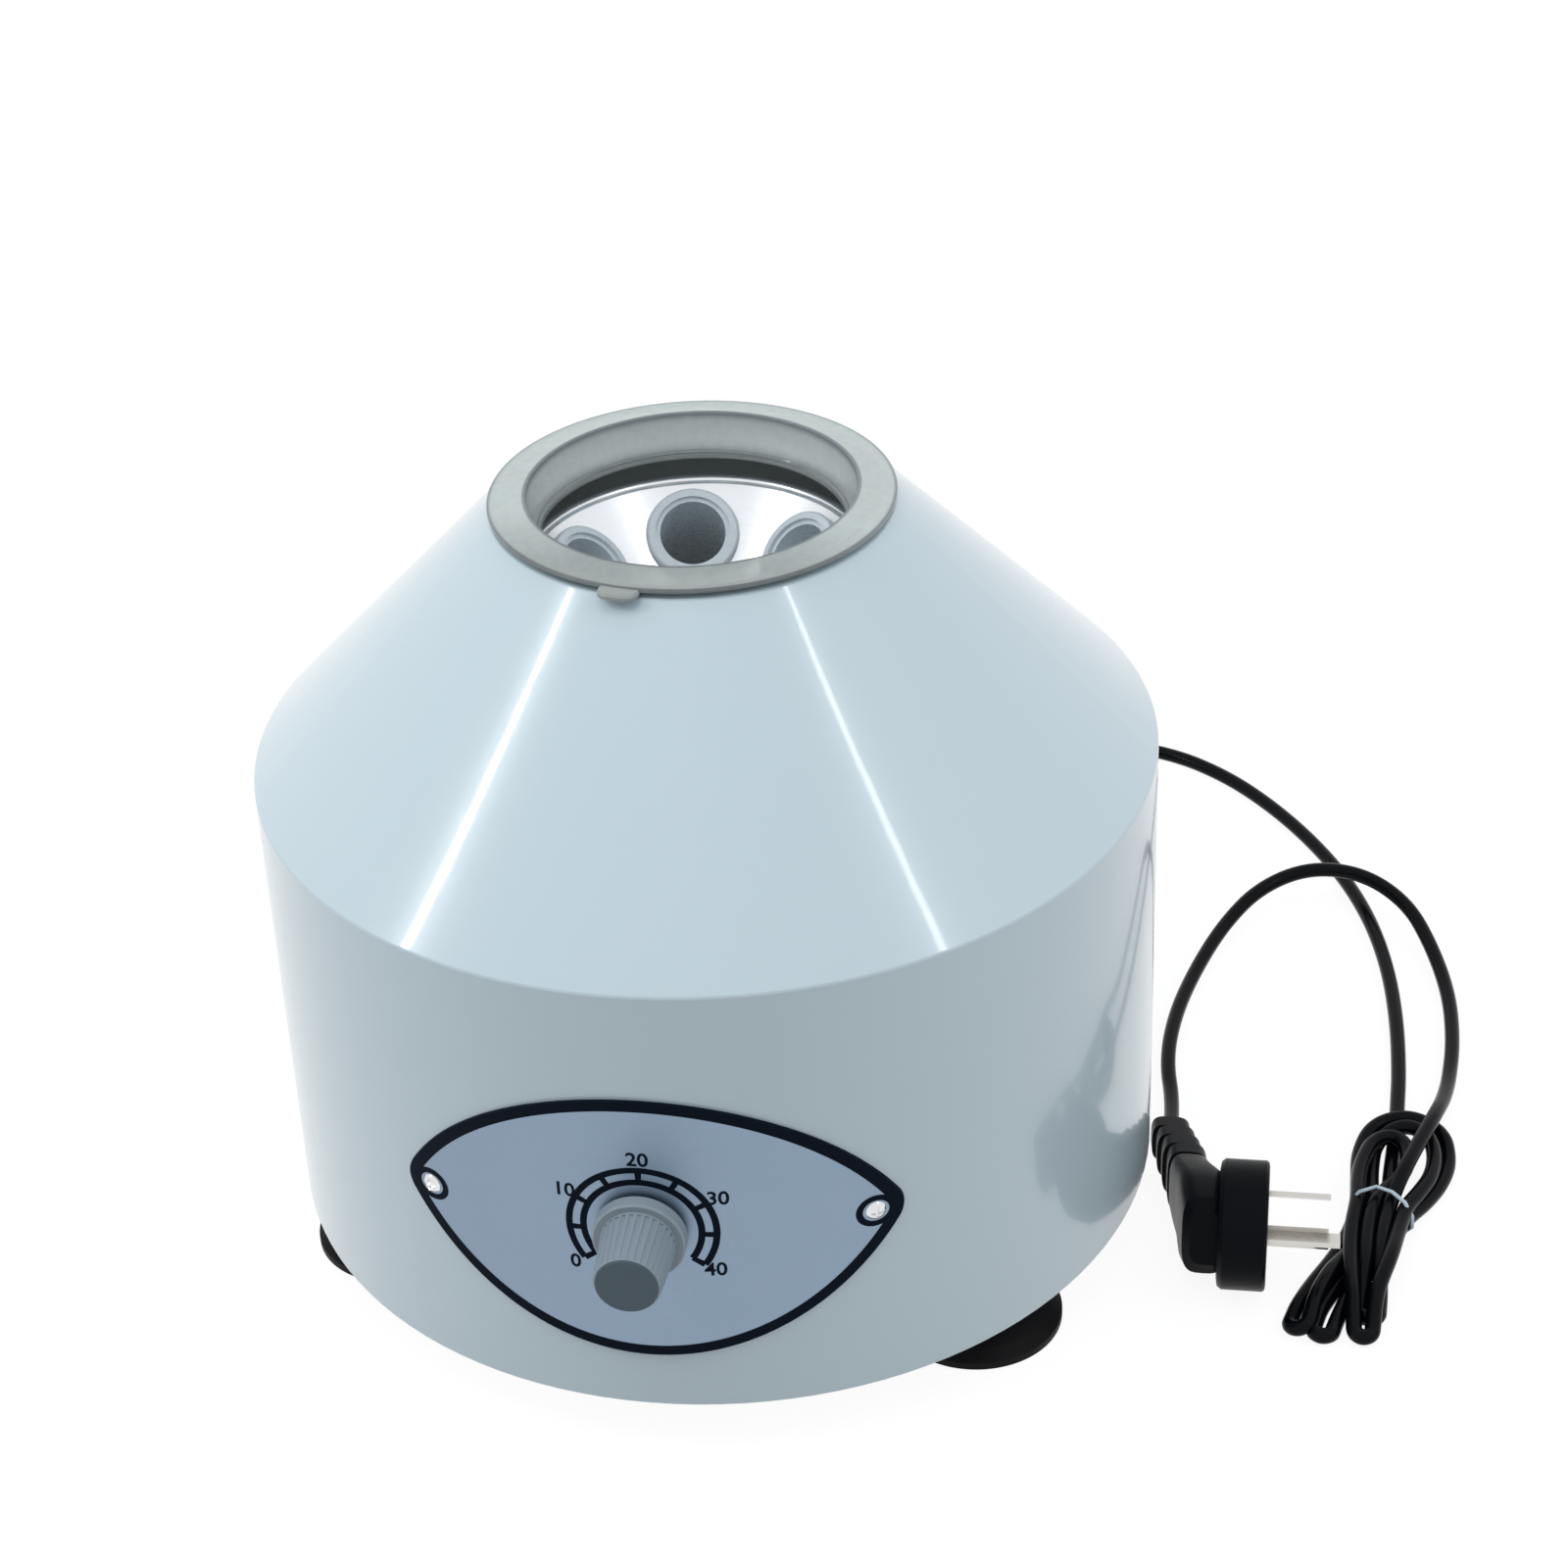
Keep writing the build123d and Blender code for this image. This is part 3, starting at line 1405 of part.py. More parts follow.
def hank_tie():
    """Soft band round the hank's waist."""
    outer_width, outer_height = tie_inner_width + 2 * tie_thickness, tie_inner_height + 2 * tie_thickness
    outer = tie_section(outer_width, outer_height, tie_rest_gap, tie_width)
    width, height = tie_inner_width + tie_play, tie_inner_height + tie_play
    inner = tie_section(width, height, tie_thickness - tie_play / 2, tie_width + 2)
    return tie_place() * (outer - inner)


def plug_place():
    """Frame of the plug: +X along the pins, +Y along the cord's arm."""
    return Pos(*plug_disc_centre) * Rot(plug_tilt, 0, 0)


def arm_section(x, y, width, height):
    """Rounded section of the plug's arm, across +Y."""
    corner = min(width, height) / 2 - plug_arm_round
    return Pos(x, y, 0) * Rot(90, 0, 0) * RectangleRounded(width, height, corner)


def plug_body():
    """Round plug face with an arm that leads the cord off sideways."""
    disc = Rot(0, 90, 0) * cylinder(plug_disc_radius, 0, plug_disc_thickness)
    disc = chamfer(disc.edges().filter_by(GeomType.CIRCLE), plug_edge)
    root_width, root_height = plug_arm_root_size
    middle_y, middle_x, middle_width, middle_height = plug_arm_middle
    arm = loft(
        [
            arm_section(plug_arm_root_shift - root_width / 2, plug_arm_root_y, root_width, root_height),
            arm_section(middle_x, middle_y, middle_width, middle_height),
            arm_section(plug_arm_end_x, plug_arm_length, *plug_arm_end_size),
        ],
        ruled=True,
    )
    return plug_place() * (disc + arm)


def plug_pins():
    """Two slanted flat pins and the longer earth pin."""
    pins = []
    for side in (-1, 1):
        pin = Pos(plug_disc_thickness + pin_length / 2, 0, 0) * Box(pin_length, pin_width, pin_thickness)
        pins.append(Pos(0, pin_rise, side * pin_spread) * Rot(-side * pin_slant, 0, 0) * pin)
    earth = Box(earth_pin_length, pin_width, pin_thickness)
    pins.append(Pos(plug_disc_thickness + earth_pin_length / 2, -earth_pin_drop, 0) * earth)
    return [plug_place() * Pos(0, pin_centre_shift, 0) * pin for pin in pins]


def cord_end():
    """Last two points of the lead: in line with the plug's arm, then at its end."""
    lead_in = plug_place() * Pos(plug_arm_end_x, plug_arm_length + plug_arm_lead_in, 0)
    end = plug_place() * Pos(plug_arm_end_x, plug_arm_length, 0)
    return [tuple(place.position) for place in (lead_in, end)]


# Every node is written here
os.makedirs("parts", exist_ok=True)
keep("housing_shell", housing_shell())
keep("lid", lid())
keep("base_plate", base_plate())
boss_reach = inner_radius - boss_radius + boss_hold
keep("base_screws", *[at_azimuth(azimuth, boss_reach) * base_screw() for azimuth in base_screw_azimuths])
for foot_name, foot_azimuth in foot_azimuths.items():
    keep(foot_name, at_azimuth(foot_azimuth, foot_circle) * foot())
foot_places = [at_azimuth(azimuth, foot_circle) for azimuth in foot_azimuths.values()]
keep("foot_bolts", *[place * piece for place in foot_places for piece in (foot_bolt(), foot_nut())])
keep("dial_plate", dial_plate())
plate_screws = [
    Rot(0, 0, azimuth) * facing_front(plate_screw_z) * plate_screw()
    for azimuth in (-plate_screw_azimuth, plate_screw_azimuth)
]
keep("dial_plate_screws", *plate_screws)
keep("speed_pot", speed_pot())
keep("pot_nut", pot_nut())
keep("pot_shaft", pot_shaft())
keep("speed_knob", speed_knob())
keep("knob_cap", knob_cap())

keep("rotor_dish", rotor_dish())
keep("rotor_skirt", rotor_skirt())
keep("rotor_floor", rotor_floor())
keep("rotor_hub", rotor_hub())
for tube_number in range(tube_count):
    keep(f"tube_sleeve_{tube_number + 1}", tube_place(tube_number) * tube_sleeve())
keep("number_ring", ring(stud_radius + stud_gap, number_ring_radius, rotor_seat_z, washer_low_z))
keep("rotor_washer", ring(stud_radius + stud_gap, washer_radius, washer_low_z, nut_low_z))
keep("dome_nut", dome_nut())
keep("motor_shaft", motor_shaft())

keep("bearing_outer_rings", *[outer_ring(low) for low in bearing_heights()])
keep("bearing_inner_rings", *[inner_ring(low) for low in bearing_heights()])
keep("bearing_balls", *[ball for low in bearing_heights() for ball in bearing_balls(low)])
keep("motor_bottom_cap", motor_bottom_cap())
keep("motor_can", ring(motor_radius - can_wall, motor_radius, can_low_z, can_top_z))
keep("motor_top_cap", motor_top_cap())
tie_pieces = (tie_bolt(), tie_nut())
keep("motor_tie_bolts", *[place * piece for place in tie_bolt_places() for piece in tie_pieces])
keep("stator_core", stator_core())
keep("field_coils", *[Rot(0, 0, turn) * field_coil() for turn in (0, 180)])
keep("armature_core", armature_core())
winding_lows = (armature_low_z - winding_height, armature_low_z + armature_height)
keep("armature_windings", *[winding_head(low) for low in winding_lows])
keep("commutator", commutator())
keep("cooling_fan", cooling_fan())
keep("brush_holders", *[Rot(0, 0, turn) * brush_holder() for turn in (0, 180)])
keep("carbon_brushes", *[Rot(0, 0, turn) * carbon_brush() for turn in (0, 180)])
keep("brush_springs", *[Rot(0, 0, turn) * brush_spring() for turn in (0, 180)])
keep("motor_bracket", motor_bracket())
bush_places = [at_azimuth(azimuth, bush_circle) for azimuth in bush_azimuths()]
keep("mount_bushes", *[place * mount_bush() for place in bush_places])
keep("mount_bolts", *[place * piece for place in bush_places for piece in (mount_bolt(), mount_nut())])

keep("control_board", control_board())
keep("board_posts", *[place * board_post() for place in board_places()])
keep("triac_heatsink", triac_heatsink(), triac())
keep("board_capacitor", board_capacitor())
keep("internal_wires", *internal_wires())

keep("cord_gland", cord_gland())
keep("cord_tail", cord_tube("cord_tail", tail_points))
keep("cord_lead", cord_tube("cord_lead", lead_points + cord_end()))
keep("cord_hank", cord_hank())
keep("hank_tie", hank_tie())
keep("plug_body", plug_body())
keep("plug_pins", *plug_pins())
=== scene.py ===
"""Benchtop centrifuge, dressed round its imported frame: finishes, print, plug, cord and studio."""

import logging
import math
from collections.abc import Callable, Sequence
from dataclasses import dataclass, field
from enum import Enum
from typing import ClassVar

import bmesh
import bpy
from mathutils import Matrix, Vector


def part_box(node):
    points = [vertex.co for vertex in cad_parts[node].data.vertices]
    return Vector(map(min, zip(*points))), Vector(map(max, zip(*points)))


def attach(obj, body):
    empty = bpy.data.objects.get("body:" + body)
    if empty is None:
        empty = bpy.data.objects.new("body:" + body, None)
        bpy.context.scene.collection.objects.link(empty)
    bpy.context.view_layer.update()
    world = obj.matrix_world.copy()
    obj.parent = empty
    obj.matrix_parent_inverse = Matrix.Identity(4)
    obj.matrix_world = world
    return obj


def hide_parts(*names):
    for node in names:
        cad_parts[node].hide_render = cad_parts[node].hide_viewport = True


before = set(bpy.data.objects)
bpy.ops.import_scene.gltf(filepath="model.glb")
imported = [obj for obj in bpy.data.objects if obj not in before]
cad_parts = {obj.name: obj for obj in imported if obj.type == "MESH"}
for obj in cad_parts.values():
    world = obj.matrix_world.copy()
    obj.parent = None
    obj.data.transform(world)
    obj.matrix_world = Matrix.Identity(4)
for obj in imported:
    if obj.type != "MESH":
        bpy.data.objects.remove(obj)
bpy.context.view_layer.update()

log = logging.getLogger("centrifuge")

MM = 0.001
Point = tuple[float, float, float]
Flat = tuple[float, float]
Colour = tuple[float, float, float]
Socket = bpy.types.NodeSocket
Material = bpy.types.Material
Piece = bpy.types.Object
Work = bmesh.types.BMesh
Lay = Callable[[float, float, float], Point]


class Body(Enum):
    """Rigid bodies that new pieces ride on."""

    BASE = "base"
    ROTOR = "rotor"
    LID = "lid"


class Grain(Enum):
    """How the marks of a metal's making run."""

    ROUND_AXIS = "turned round the vertical axis"
    FLAT = "brushed straight along X"
    CAST = "coarse and without direction"
    POLISHED = "faint smears only"


# Finishes


class NodeTree:
    """Node tree with short calls for the nodes that materials and the world share."""

    def __init__(self, tree: bpy.types.NodeTree) -> None:
        """Take a tree as it is."""
        self.tree = tree

    def add(self, kind: str, **settings: object) -> bpy.types.Node:
        """Add a node.

        Args:
            kind: Blender's name of the node type.
            settings: properties of the node.

        Returns:
            The new node.
        """
        node = self.tree.nodes.new(kind)
        for name, value in settings.items():
            setattr(node, name, value)
        return node

    def wire(self, source: Socket, target: Socket) -> None:
        """Join an output to an input."""
        self.tree.links.new(source, target)

    def sum(self, operation: str, *values: object) -> Socket:
        """Math node on sockets or numbers.

        Args:
            operation: name of the operation.
            values: sockets or numbers, in the node's order.

        Returns:
            The result's socket.
        """
        node = self.add("ShaderNodeMath", operation=operation)
        for number, value in enumerate(values):
            if isinstance(value, Socket):
                self.wire(value, node.inputs[number])
            else:
                node.inputs[number].default_value = value
        return node.outputs[0]

    def spread(
        self, value: Socket, low: float, high: float, start: float = 0.3, end: float = 0.7
    ) -> Socket:
        """Stretch a value to another range.

        Args:
            value: value that mostly lies between start and end.
            low: result at start.
            high: result at end.
            start: value that gives low.
            end: value that gives high.

        Returns:
            The stretched value.
        """
        node = self.add("ShaderNodeMapRange")
        self.wire(value, node.inputs["Value"])
        for name, number in (("From Min", start), ("From Max", end), ("To Min", low), ("To Max", high)):
            node.inputs[name].default_value = number
        return node.outputs["Result"]

    def seen(self) -> Socket:
        """Value that is 1 for what the camera sees directly, in a reflection or through clear plastic.

        Returns:
            The value.
        """
        rays = self.add("ShaderNodeLightPath").outputs
        open_view = self.sum("MAXIMUM", rays["Is Camera Ray"], rays["Is Glossy Ray"])
        return self.sum("MAXIMUM", open_view, rays["Is Transmission Ray"])

    def mix(self, kind: str, *sources: Socket) -> None:
        """Join a mix of two shaders to the tree's output.

        Args:
            kind: Blender's type of the output.
            sources: share of the second shader, then the two shaders.
        """
        node = self.add("ShaderNodeMixShader")
        for source, target in zip(sources, node.inputs):
            self.wire(source, target)
        output = next(node for node in self.tree.nodes if node.type == kind)
        self.wire(node.outputs[0], output.inputs["Surface"])


class NodeSheet(NodeTree):
    """Node tree of one finish, round its Principled shader."""

    def __init__(self, name: str) -> None:
        """Start a material that holds one Principled shader.

        Args:
            name: name of the finish.
        """
        self.material = bpy.data.materials.new(name)
        self.material.use_nodes = True
        super().__init__(self.material.node_tree)
        self.shader = next(node for node in self.tree.nodes if node.type == "BSDF_PRINCIPLED")
        self.place = self.add("ShaderNodeTexCoord").outputs["Object"]

    def set(self, **values: object) -> None:
        """Set constant inputs of the shader, an underscore standing for a blank in a socket's name."""
        for name, value in values.items():
            self.shader.inputs[name.replace("_", " ")].default_value = value

    def feed(self, socket: str, source: Socket) -> None:
        """Join an output to one of the shader's inputs."""
        self.wire(source, self.shader.inputs[socket])

    def noise(
        self,
        scale: float,
        detail: float = 3.0,
        stretch: Point = (1.0, 1.0, 1.0),
        place: Socket | None = None,
    ) -> Socket:
        """Noise in the machine's own space.

        Args:
            scale: repeats in a metre.
            detail: octaves.
            stretch: how much finer it runs along X, Y and Z.
            place: coordinates in place of the object's own.

        Returns:
            The noise's value.
        """
        mapping = self.add("ShaderNodeMapping")
        mapping.inputs["Scale"].default_value = stretch
        self.wire(place or self.place, mapping.inputs["Vector"])
        node = self.add("ShaderNodeTexNoise")
        node.inputs["Scale"].default_value = scale
        node.inputs["Detail"].default_value = detail
        self.wire(mapping.outputs["Vector"], node.inputs["Vector"])
        return node.outputs["Fac"]

    def blend(self, share: Socket, first: Colour, second: Colour) -> Socket:
        """Colour between two colours.

        Args:
            share: 0 for the first, 1 for the second.
            first: linear red, green and blue.
            second: linear red, green and blue.

        Returns:
            The blended colour.
        """
        node = self.add("ShaderNodeMix", data_type="RGBA")
        self.wire(share, node.inputs["Factor"])
        colours = [socket for socket in node.inputs if socket.type == "RGBA"]
        colours[0].default_value = (*first, 1.0)
        colours[1].default_value = (*second, 1.0)
        return next(socket for socket in node.outputs if socket.type == "RGBA")

    def tint(self, share: Socket, first: Colour, second: Colour) -> None:
        """Colour the shader between two colours."""
        self.feed("Base Color", self.blend(share, first, second))

    def roughen(self, value: Socket, roughness: float, wear: Flat) -> None:
        """Set the roughness between two shares of its usual value, low and high, as a noise runs."""
        self.feed("Roughness", self.spread(value, roughness * wear[0], roughness * wear[1]))

    def relief(self, height: Socket, strength: float, depth: float) -> None:
        """Bump the shader's normal.

        Args:
            height: height from 0 to 1.
            strength: share of the full effect.
            depth: height of the relief in metres.
        """
        node = self.add("ShaderNodeBump")
        node.inputs["Strength"].default_value = strength
        node.inputs["Distance"].default_value = depth
        self.wire(height, node.inputs["Height"])
        self.feed("Normal", node.outputs["Normal"])

    def radius(self) -> Socket:
        """Distance from the machine's vertical axis.

        Returns:
            The distance in metres.
        """
        flat = self.add("ShaderNodeVectorMath", operation="MULTIPLY")
        flat.inputs[1].default_value = (1.0, 1.0, 0.0)
        self.wire(self.place, flat.inputs[0])
        length = self.add("ShaderNodeVectorMath", operation="LENGTH")
        self.wire(flat.outputs["Vector"], length.inputs[0])
        return length.outputs["Value"]

    def along(self, axis: str) -> Socket:
        """Coordinate in the machine's space.

        Args:
            axis: X, Y or Z.

        Returns:
            The coordinate in metres.
        """
        parts = self.add("ShaderNodeSeparateXYZ")
        self.wire(self.place, parts.inputs["Vector"])
        return parts.outputs[axis]


def shade(colour: Colour, factor: float) -> Colour:
    """Darker or lighter version of a colour."""
    return tuple(min(1.0, part * factor) for part in colour)


@dataclass(frozen=True)
class Moulded:
    """Plastic out of a mould: even colour, faint flow marks and a fine skin."""

    name: str
    colour: Colour
    roughness: float = 0.35
    coat: float = 0.0
    mottle: float = 0.04
    skin: float = 900.0
    gloss: float = 0.5
    flow: float = 14.0
    wear: Flat = (0.9, 1.12)
    relief: Flat = (0.25, 0.00002)
    coat_roughness: float = 0.06
    ior: float = 1.49

    def make(self) -> Material:
        """Build the material.

        Returns:
            The material.
        """
        sheet = NodeSheet(self.name)
        sheet.tint(sheet.noise(self.flow), shade(self.colour, 1 - self.mottle), self.colour)
        fine = sheet.noise(self.skin, 2.0)
        sheet.roughen(fine, self.roughness, self.wear)
        sheet.relief(fine, *self.relief)
        sheet.set(IOR=self.ior, Specular_IOR_Level=self.gloss)
        sheet.set(Coat_Weight=self.coat, Coat_Roughness=self.coat_roughness)
        return sheet.material


@dataclass(frozen=True)
class Rubber:
    """Moulded rubber or cord sheath with a soft sheen and dust in its pores."""

    name: str
    colour: Colour
    roughness: float = 0.55
    pore: float = 1400.0
    gloss: float = 0.09
    dust: float = 60.0
    dust_shade: float = 1.5
    wear: Flat = (0.85, 1.15)
    relief: Flat = (0.35, 0.00004)
    ior: float = 1.5

    def make(self) -> Material:
        """Build the material.

        Returns:
            The material.
        """
        sheet = NodeSheet(self.name)
        dust = sheet.spread(sheet.noise(self.dust, 6.0), 0.0, 1.0, 0.45, 0.8)
        sheet.tint(dust, self.colour, shade(self.colour, self.dust_shade))
        pores = sheet.noise(self.pore, 4.0)
        sheet.roughen(pores, self.roughness, self.wear)
        sheet.relief(pores, *self.relief)
        sheet.set(IOR=self.ior, Specular_IOR_Level=self.gloss)
        return sheet.material


@dataclass(frozen=True)
class Metal:
    """Bare or plated metal with the marks of its making."""

    name: str
    colour: Colour
    roughness: float
    grain: Grain
    depth: float = 0.000006
    lines: float = 9000.0
    lines_rise: float = 0.7
    marks_share: float = 0.6
    stain: float = 0.9
    wear: Flat = (0.8, 1.3)
    strength: float = 0.3

    def marks(self, sheet: NodeSheet) -> Socket:
        """Marks that the making left.

        Args:
            sheet: node tree of the metal.

        Returns:
            Their height from 0 to 1.
        """
        if self.grain is Grain.FLAT:
            return sheet.noise(160.0, 3.0, (1.0, 30.0, 30.0))
        if self.grain is Grain.CAST:
            return sheet.noise(700.0, 6.0)
        if self.grain is Grain.POLISHED:
            return sheet.noise(90.0, 2.0)
        thread = sheet.add("ShaderNodeTexNoise", noise_dimensions="1D")
        thread.inputs["Scale"].default_value = 1.0
        thread.inputs["Detail"].default_value = 2.0
        rise = sheet.sum("MULTIPLY", sheet.along("Z"), self.lines_rise)
        reach = sheet.sum("ADD", sheet.radius(), rise)
        sheet.wire(sheet.sum("MULTIPLY", reach, self.lines), thread.inputs["W"])
        return thread.outputs["Fac"]

    def make(self) -> Material:
        """Build the material.

        Returns:
            The material.
        """
        sheet = NodeSheet(self.name)
        smear = sheet.sum("MULTIPLY", sheet.noise(25.0, 5.0), 1 - self.marks_share)
        marks = self.marks(sheet)
        both = sheet.sum("MULTIPLY_ADD", marks, self.marks_share, smear)
        sheet.tint(both, shade(self.colour, self.stain), self.colour)
        sheet.roughen(both, self.roughness, self.wear)
        sheet.relief(marks, self.strength, self.depth)
        sheet.set(Metallic=1.0)
        return sheet.material


@dataclass(frozen=True)
class ClearLid:
    """Clear moulding: polished pane, hazy wall and a frosted rim, with painted shade as dark lines at
    its edges and towards its front.
    """

    name: str
    pane_radius: float
    rim_radius: float
    outer_radius: float
    colour: Colour = (0.52, 0.585, 0.58)
    # Painted shade: colour of the dark lines at the lid's edges.
    edge_shade_colour: Colour = (0.20, 0.23, 0.25)
    wall_colour: Colour = (0.74, 0.81, 0.80)
    pane_cover: float = 0.03
    wall_cover: float = 0.52
    rim_cover: float = 0.88
    # Cover of the painted shade lines at the lid's edges.
    edge_shade_cover: float = 0.92
    line: float = 0.0009
    # Painted shade towards the lid's front: colour factor at the front edge, and how far back it reaches
    # as a share of the pane's radius.
    painted_front_shade: float = 0.62
    front_share: float = 0.4
    haze: Flat = (0.95, 1.05)
    ior: float = 1.49

    def stops(self) -> list[tuple[float, float, Colour]]:
        """Stops of the ramp from the pane to the outer edge.

        Returns:
            Radius, cover and colour of each stop.
        """
        pane, rim, outer = self.pane_radius, self.rim_radius, self.outer_radius
        clear, frost = (self.pane_cover, self.colour), (self.rim_cover, self.colour)
        wall, edge = (self.wall_cover, self.wall_colour), (self.edge_shade_cover, self.edge_shade_colour)
        # Painted shade: thin dark lines at the pane's edge, the rim's inner edge and the outer edge,
        # where the clear plastic looks darker.
        stops = (
            (pane, -1.0, clear), (pane, 0.0, edge), (pane, 1.0, wall),
            (rim, -1.0, wall), (rim, -0.5, edge), (rim, 0.4, edge), (rim, 1.0, frost),
            (outer, -1.4, frost), (outer, -0.3, edge), (outer, 0.6, frost),
        )
        return [(radius + share * self.line, *look) for radius, share, look in stops]

    def make(self) -> Material:
        """Build the material, its cover and colour following the radius, the colour darkened towards the
        front as painted shade.

        Returns:
            The material.
        """
        sheet = NodeSheet(self.name)
        start, end = self.pane_radius - 2 * self.line, self.outer_radius + self.line
        share = sheet.spread(sheet.radius(), 0.0, 1.0, start, end)
        ramp = sheet.add("ShaderNodeValToRGB")
        bar = ramp.color_ramp.elements
        for _ in range(len(self.stops()) - len(bar)):
            bar.new(0.5)
        for stop, (radius, cover, colour) in zip(bar, self.stops()):
            stop.position = (radius - start) / (end - start)
            stop.color = (*colour, cover)
        sheet.wire(share, ramp.inputs["Fac"])
        haze = sheet.spread(sheet.noise(400.0, 3.0), *self.haze)
        # Painted shade: the ramp's colour is scaled down towards the front of the lid, from partway
        # across the pane to its front edge.
        tone = sheet.add("ShaderNodeVectorMath", operation="SCALE")
        sheet.wire(ramp.outputs["Color"], tone.inputs[0])
        front, middle = -self.pane_radius, -self.front_share * self.pane_radius
        painted_shade = sheet.spread(sheet.along("Y"), self.painted_front_shade, 1.0, front, middle)
        sheet.wire(painted_shade, tone.inputs["Scale"])
        sheet.feed("Base Color", tone.outputs["Vector"])
        sheet.feed("Alpha", sheet.sum("MULTIPLY", ramp.outputs["Alpha"], haze))
        sheet.feed("Roughness", sheet.spread(share, 0.05, 0.3, 0.0, 0.8))
        sheet.set(IOR=self.ior)
        return sheet.material


@dataclass(frozen=True)
class Ink:
    """Screen print: even and dull, with slightly ragged cover."""

    name: str
    colour: Colour = (0.003, 0.006, 0.012)
    grit: float = 1800.0
    thin: float = 1.6
    gloss: float = 0.03

    def make(self) -> Material:
        """Build the material.

        Returns:
            The material.
        """
        sheet = NodeSheet(self.name)
        cover = sheet.noise(self.grit, 4.0)
        sheet.tint(cover, self.colour, shade(self.colour, self.thin))
        sheet.feed("Roughness", sheet.spread(cover, 0.4, 0.55))
        sheet.set(Specular_IOR_Level=self.gloss)
        return sheet.material


@dataclass(frozen=True)
class Layered:
    """Stacked or wound material, shown as fine lines across one axis."""

    name: str
    light: Colour
    dark: Colour
    pitch: float
    across: str = "Z"
    metallic: float = 0.0
    roughness: float = 0.4
    wander: float = 0.4
    wear: Flat = (0.8, 1.2)

    def make(self) -> Material:
        """Build the material.

        Returns:
            The material.
        """
        sheet = NodeSheet(self.name)
        wave = sheet.add("ShaderNodeTexWave", wave_type="BANDS", bands_direction=self.across)
        wave.inputs["Scale"].default_value = math.pi / (10 * self.pitch)
        wave.inputs["Distortion"].default_value = self.wander
        sheet.wire(sheet.place, wave.inputs["Vector"])
        lines = wave.outputs["Fac"]
        sheet.tint(lines, self.dark, self.light)
        sheet.roughen(sheet.noise(300.0), self.roughness, self.wear)
        sheet.relief(lines, 0.6, self.pitch * 0.3)
        sheet.set(Metallic=self.metallic)
        return sheet.material


Finish = Moulded | Rubber | Metal | ClearLid | Ink | Layered


class Rack:
    """Materials already made, one for each finish."""

    def __init__(self) -> None:
        """Start with no material."""
        self.made: dict[str, Material] = {}

    def material(self, finish: Finish) -> Material:
        """Material of a finish, made once."""
        if finish.name not in self.made:
            self.made[finish.name] = finish.make()
        return self.made[finish.name]

    def dress(self, thing: Piece, finish: Finish) -> None:
        """Give a piece one finish all over."""
        thing.data.materials.clear()
        thing.data.materials.append(self.material(finish))

    def dress_nodes(self, finish: Finish, *names: str) -> None:
        """Give carried-over nodes one finish."""
        for name in names:
            self.dress(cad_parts[name], finish)
            log.info("%s: %s", name, finish.name)


rack = Rack()

SHELL_WHITE = Moulded("shell_white", (0.55, 0.675, 0.745), 0.2, coat=0.5, mottle=0.02, skin=260.0)
KNOB_GREY = Moulded("knob_grey", (0.25, 0.31, 0.36), 0.4)
CAP_SLATE = Moulded("cap_slate", (0.048, 0.082, 0.108), 0.45)
SLEEVE_MILK = Moulded("sleeve_milk", (0.66, 0.74, 0.80), 0.28, coat=0.3)
PLUG_BLACK = Moulded("plug_black", (0.0035, 0.0042, 0.0062), 0.34, mottle=0.2, skin=1300.0, gloss=0.06)
FAN_BLACK = Moulded("fan_black", (0.02, 0.02, 0.022), 0.5)
POST_IVORY = Moulded("post_ivory", (0.66, 0.65, 0.6), 0.45)
CAPACITOR_OCHRE = Moulded("capacitor_ochre", (0.62, 0.42, 0.06), 0.3)
BRUSH_CARBON = Moulded("brush_carbon", (0.02, 0.02, 0.021), 0.6, mottle=0.3)
TIE_PALE = Moulded("tie_pale", (0.50, 0.62, 0.72), 0.45, mottle=0.12)
FOOT_BLACK = Rubber("foot_black", (0.005, 0.005, 0.006), 0.5)
CORD_BLACK = Rubber("cord_black", (0.0022, 0.0026, 0.0042), 0.22, 900.0)
WIRE_GREY = Rubber("wire_grey", (0.06, 0.06, 0.07), 0.45)
PLATE_SILVER = Metal("plate_silver", (0.27, 0.35, 0.45), 0.45, Grain.FLAT)
ROTOR_BRIGHT = Metal("rotor_bright", (0.93, 0.96, 1.0), 0.24, Grain.ROUND_AXIS)
RING_DULL = Metal("ring_dull", (0.42, 0.42, 0.415), 0.5, Grain.CAST)
CHROME = Metal("chrome", (0.80, 0.80, 0.81), 0.07, Grain.POLISHED)
ZINC = Metal("zinc", (0.58, 0.59, 0.60), 0.34, Grain.POLISHED)
GROUND_STEEL = Metal("ground_steel", (0.52, 0.52, 0.53), 0.25, Grain.ROUND_AXIS)
CAST_ALLOY = Metal("cast_alloy", (0.52, 0.53, 0.54), 0.5, Grain.CAST, depth=0.00004)
PAINTED_CAN = Moulded("painted_can", (0.09, 0.10, 0.11), 0.4)
BRASS = Metal("brass", (0.72, 0.53, 0.22), 0.3, Grain.POLISHED)
PIN_PLATED = Metal("pin_plated", (0.66, 0.64, 0.60), 0.22, Grain.FLAT)
SINK_DARK = Metal("sink_dark", (0.05, 0.052, 0.055), 0.45, Grain.FLAT)
IRON_LAYERS = Layered("iron_layers", (0.30, 0.30, 0.31), (0.09, 0.09, 0.095), 0.0005, "Z", 1.0, 0.5)
COPPER_TURNS = Layered("copper_turns", (0.55, 0.20, 0.07), (0.16, 0.05, 0.02), 0.0006, "Z", 0.6, 0.35)
COPPER_BARS = Metal("copper_bars", (0.72, 0.38, 0.22), 0.28, Grain.ROUND_AXIS)
